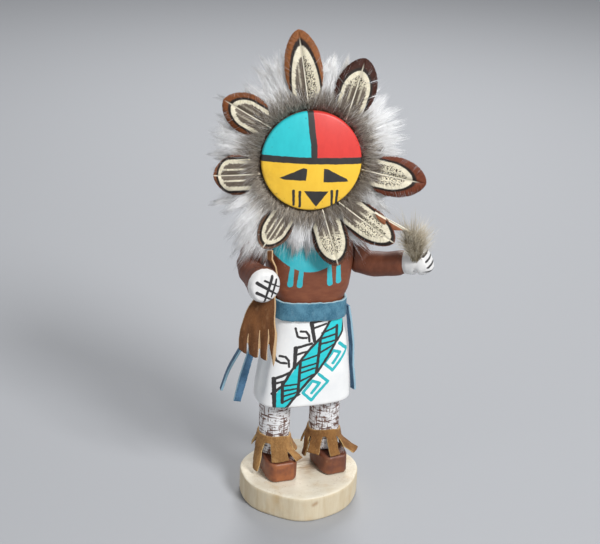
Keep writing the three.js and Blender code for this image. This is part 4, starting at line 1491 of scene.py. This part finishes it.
def held_place(flat):
    return HELD_FOOT + flat[..., :1] * held_across - flat[..., 1:2] * held_face + flat[..., 2:] * held_along


lower_side = -1 if held_across[2] > 0 else 1
draw = np.random.default_rng(61)
held_mesh = make_feather(
    "held_barbs", draw, held_place, HELD_LENGTH, HELD_WIDTH, 0.3,
    sides=(lower_side,), bow=0.4, cup=0.3, down=0, quill=1.4
)
held_finish = feather_finish(
    "held_feather_colours", HELD_LENGTH, HELD_WIDTH, paint("#9a5f3d"),
    HELD_LENGTH, 0.5, 1.0, downy=1.0, shaft_half=0.8
)
settle("held_feather_barbed", held_mesh, held_finish, ["held_feather"])


def down_finish():
    finish = Finish("grey_down")
    shade, along = finish.surface()
    tint = (shade * 9.0).math("FRACT")
    dark = finish.mix(shade * 0.8 + tint * 0.2, paint("#6b5d48"), paint("#b5a788"))
    light = finish.mix(shade * 0.7 + tint * 0.3, paint("#a8987c"), paint("#f5edda"))
    colour = finish.mix(along.rise(0.1, 0.7), dark, light)
    return finish.done(colour, 0.65, Specular_IOR_Level=0.25)


def down_tuft(draw, count):
    """A mop of soft down that stands in the fist's notch, leans on the quill and curls out above it."""
    locks = 34
    lock_turn = np.linspace(-1.3, 1.2, locks) + draw.normal(0, 0.1, locks)
    lock_nod = draw.normal(-0.05, 0.4, locks)
    lock_length = (20.5 - 6 * np.abs(lock_turn)) * draw.uniform(0.6, 1.15, locks)
    lock_climb = draw.uniform(0, 1, locks)
    each = draw.integers(0, locks, count)
    climb = np.clip(lock_climb[each] + draw.normal(0, 0.15, count), 0, 1)
    roots = np.array([45.3, -20.6, 127.0]) + np.outer(climb, (-2.8, 0.6, 8.5))
    roots += draw.normal(0, 1, (count, 3)) * np.array([1.2, 0.7, 1.0])
    turn = lock_turn[each] * (0.55 + 0.45 * climb) + draw.normal(0, 0.07, count)
    nod = lock_nod[each] + draw.normal(0, 0.1, count)
    heading = np.stack([np.sin(turn), np.sin(nod), np.cos(turn) * np.cos(nod)], axis=1)
    length = lock_length[each] * draw.uniform(0.45, 1.0, count)
    tips = roots + heading * length[:, None]
    bends = draw.normal(0, 2.4, (locks, 3))[each] + draw.normal(0, 0.6, (count, 3))
    bends[:, 2] -= 2.6 * np.abs(turn)
    shades = np.clip(draw.uniform(0, 1, locks)[each] + draw.normal(0, 0.12, count), 0.01, 0.98)
    return roots, tips - bends * 0.5, bends, draw.uniform(0.18, 0.3, count), shades


roots, tips, bends, widths, shades = down_tuft(np.random.default_rng(71), 1250)
down_laid = laid_strands(HAIR, roots, tips, bends, widths)
down_mesh = bundle("held_down", HAIR, down_laid, shade_chart(HAIR, shades))
settle("held_down", down_mesh, down_finish(), ["held_feather"])

# %% [markdown]
# ## Suede: bag, belt, ties and ankle cuffs
#
# All of these are thin suede cut with a blade. Suede is matt and cloudy, because its nap lies in patches, and
# its cut edges show the paler inside of the hide. Each piece is an evened copy of its solid. A number is kept
# on every vertex that says how much it belongs to a cut edge, and the finish reads that number.

# %% Suede helpers


def vertex_normals(mesh):
    normals = np.zeros(len(mesh.vertices) * 3, np.float32)
    mesh.vertex_normals.foreach_get("vector", normals)
    return normals.reshape(-1, 3).astype(float)


def keep_cut_edges(mesh, share):
    """Keeps on each vertex how far it belongs to a cut edge, from 0 to 1."""
    layer = mesh.attributes.new("cut_edge", "FLOAT", "POINT")
    layer.data.foreach_set("value", np.clip(share, 0, 1).astype(np.float32))


def curled(places, amount, size, seed):
    """Soft uneven bends of thin hide, as a move for each vertex."""
    return np.stack([knife_marks(places, amount, size, seed + axis) for axis in range(3)], axis=1)


def suede(name, dark, light, cut, nap_stretch=(1, 1, 0.6), wear=0.3):
    finish = Finish(name)
    point = finish.place()
    cloud = finish.noise(point, 5.0, 3, 0.55, stretch=nap_stretch)
    nap = finish.noise(point, 0.5, 4, 0.65, stretch=nap_stretch)
    fibre = finish.noise(point, 0.16, 2, 0.6, stretch=(1, 1, 0.5))
    patch = finish.noise(point, 1.8, 3, 0.6, stretch=(1, 1, 0.5), shift=(4.0, 1.0, 8.0))
    colour = finish.mix((cloud * 0.6 + nap * 0.4).rise(0.35, 0.66), dark, light)
    colour = finish.mix(fibre.rise(0.5, 0.8) * 0.35, colour, scaled(light, 1.7))
    colour = finish.mix(patch.rise(0.56, 0.72) * wear, colour, cut)
    edge = finish.node("ShaderNodeAttribute", {"attribute_name": "cut_edge"}, output="Fac")
    edge = (edge + (nap - 0.5) * 0.45).rise(0.45, 0.7)
    colour = finish.mix(edge, colour, cut)
    relief = finish.bump(cloud * 0.6 + nap * 0.7 + fibre * 0.3, 0.16, 0.7)
    return finish.done(colour, 0.92, relief, Specular_IOR_Level=0.2, Sheen_Weight=0.1, Sheen_Roughness=0.5)


# %% The bag
bag_mesh = carved_copy("leather_bag", 0.36 * MM, 2)
places = places_of(bag_mesh)
right_edge = np.interp(places[:, 2], [79.8, 99, 114, 122, 135], [-20.6, -19.8, -20.2, -19.5, -19.7])
strap_bend = np.interp(places[:, 2], [115, 118.3, 123.9, 127.6, 131.3, 135], [0, 0.1, 0.4, -0.1, -1.6, -1.2])
cut = np.maximum(1.2 - 1.6 * np.abs(vertex_normals(bag_mesh)[:, 1]), 1.5 - (right_edge - places[:, 0]) / 0.8)
for slit_x, slit_top in ((-32.4, 98), (-27.2, 99), (-23.2, 99)):
    from_slit = np.abs(places[:, 0] - slit_x) - 0.045 * np.clip(slit_top - places[:, 2], 0, 20)
    cut = np.maximum(cut, (0.9 - from_slit / 0.45) * (places[:, 2] < slit_top))
keep_cut_edges(bag_mesh, cut)
low_part = 1 - steps(places[:, 2], 88, 112)
places += curled(places, 0.35, 13, 21) * np.array([0.5, 1, 0.2])
places[:, 0] += strap_bend
places[:, 1] += low_part * (0.8 * np.sin(places[:, 0] * 1.35 + 0.8) - 0.3)
move_to(bag_mesh, places)
bag_brown = suede("bag_suede", paint("#56351d"), paint("#71492a"), paint("#c8a880"), wear=0.08)
bag = settle("suede_bag", bag_mesh, bag_brown, ["leather_bag"])

# %% The belt
belt_mesh = carved_copy("belt", 0.42 * MM, 2)
keep_cut_edges(belt_mesh, 1.5 * np.abs(vertex_normals(belt_mesh)[:, 2]) - 0.25)
places = places_of(belt_mesh)
turn_round = np.arctan2(places[:, 1] - 1, places[:, 0])
rim_share = np.abs(places[:, 2] - 102.6) / 5
places[:, 2] += 0.12 * rim_share * np.sin(turn_round * 9 + 1) + 0.08 * rim_share * np.sin(turn_round * 23)
places += curled(places, 0.1, 7, 31)
places[:, 2] += waist_sag(places)
move_to(belt_mesh, places)
belt_blue = suede("belt_suede", paint("#38667d"), paint("#5c8da3"), paint("#a3c0ca"), (1, 1, 1), 0.12)
belt = settle("suede_belt", belt_mesh, belt_blue, ["belt"])

# %% The ties
blue = suede("tie_suede", paint("#34546e"), paint("#507492"), paint("#93b6c6"), (1, 1, 1), 0.1)
TIE_FACING = {"hip_tie_right_outer": 80, "hip_tie_right_inner": 14, "hip_tie_left": 100}
for number, (name, facing) in enumerate(TIE_FACING.items()):
    tie_mesh = carved_copy(name, 0.3 * MM, 1)
    across = np.array([math.cos(math.radians(facing)), math.sin(math.radians(facing)), 0])
    normals = vertex_normals(tie_mesh)
    keep_cut_edges(tie_mesh, 1.5 * np.abs(normals @ across) - 0.3 + 0.5 * (normals[:, 2] < -0.75))
    places = places_of(tie_mesh)
    places += curled(places, 0.3, 15, 41 + number) * (1 - steps(places[:, 2], 84, 96))[:, None]
    move_to(tie_mesh, places)
    settle("suede_" + name, tie_mesh, blue, [name])

# %% The ankle cuffs and their fringes
CUFF_FLOOR = 12.9
CUFF_CENTRES = {"right": (-12.3, 3.0, 31.2), "left": (12.7, 3.0, 32.0)}
CUFF_SUEDE = {"right": ("#7a5733", "#ab814f"), "left": ("#6b4829", "#946a3c")}
for number, (side, (centre_x, centre_y, band_low)) in enumerate(CUFF_CENTRES.items()):
    cuff_mesh = carved_copy("ankle_fringe_" + side, 0.37 * MM, 2)
    places = places_of(cuff_mesh)
    outwards = places[:, :2] - np.array([centre_x, centre_y])
    outwards /= np.maximum(np.linalg.norm(outwards, axis=1), 0.1)[:, None]
    normals = vertex_normals(cuff_mesh)
    round_way = np.abs(normals[:, 1] * outwards[:, 0] - normals[:, 0] * outwards[:, 1])
    keep_cut_edges(cuff_mesh, np.maximum(1.5 * round_way - 0.25, 1.1 * np.abs(normals[:, 2]) - 0.5))
    hanging = 1 - steps(places[:, 2], band_low - 2, band_low + 2)
    places += curled(places, 0.32, 9, 51 + 5 * number) * hanging[:, None]
    places[:, :2] -= outwards * (0.95 * steps(places[:, 2], band_low - 3, band_low + 3.4))[:, None]
    away = np.hypot(places[:, 0] - centre_x, places[:, 1] - centre_y)
    behind = steps(outwards @ np.array([-0.6, 0.8]), -0.1, 0.5)
    places[:, :2] -= outwards * (0.6 * np.maximum(away - 10.8, 0) * behind)[:, None]
    beside = places[:, 0] - centre_x
    drop = 0.9 + 2.6 * steps(beside, 1, 9) + (1.6 if side == "left" else 0) * steps(-beside, 2, 9)
    places[:, 2] -= drop * steps(places[:, 2], band_low - 9, band_low + 2)
    places[:, 2] = np.maximum(places[:, 2], CUFF_FLOOR)
    move_to(cuff_mesh, places)
    dark, light = (paint(shade) for shade in CUFF_SUEDE[side])
    cuff_finish = suede(f"cuff_suede_{side}", dark, light, paint("#c9a873"), (1, 1, 0.5), 0.2)
    fringe = f"ankle_fringe_{side}"
    settle(f"suede_cuff_{side}", cuff_mesh, cuff_finish, [fringe])

# %% [markdown]
# ## The sheets
#
# The bag, the belt and the two cuffs are sheets of hide.

# %% [markdown]
# ## Floor
#
# The floor is a wide pale sheet.

# %% Floor
bm = bmesh.new()
bmesh.ops.create_grid(bm, x_segments=2, y_segments=2, size=3.0)
floor = bpy.data.objects.new("pale_floor", mesh_of(bm, "pale_floor"))
bpy.context.scene.collection.objects.link(floor)
floor_finish = Finish("pale_floor")
floor.data.materials.append(floor_finish.done(paint("#a6a8ac"), 0.75))
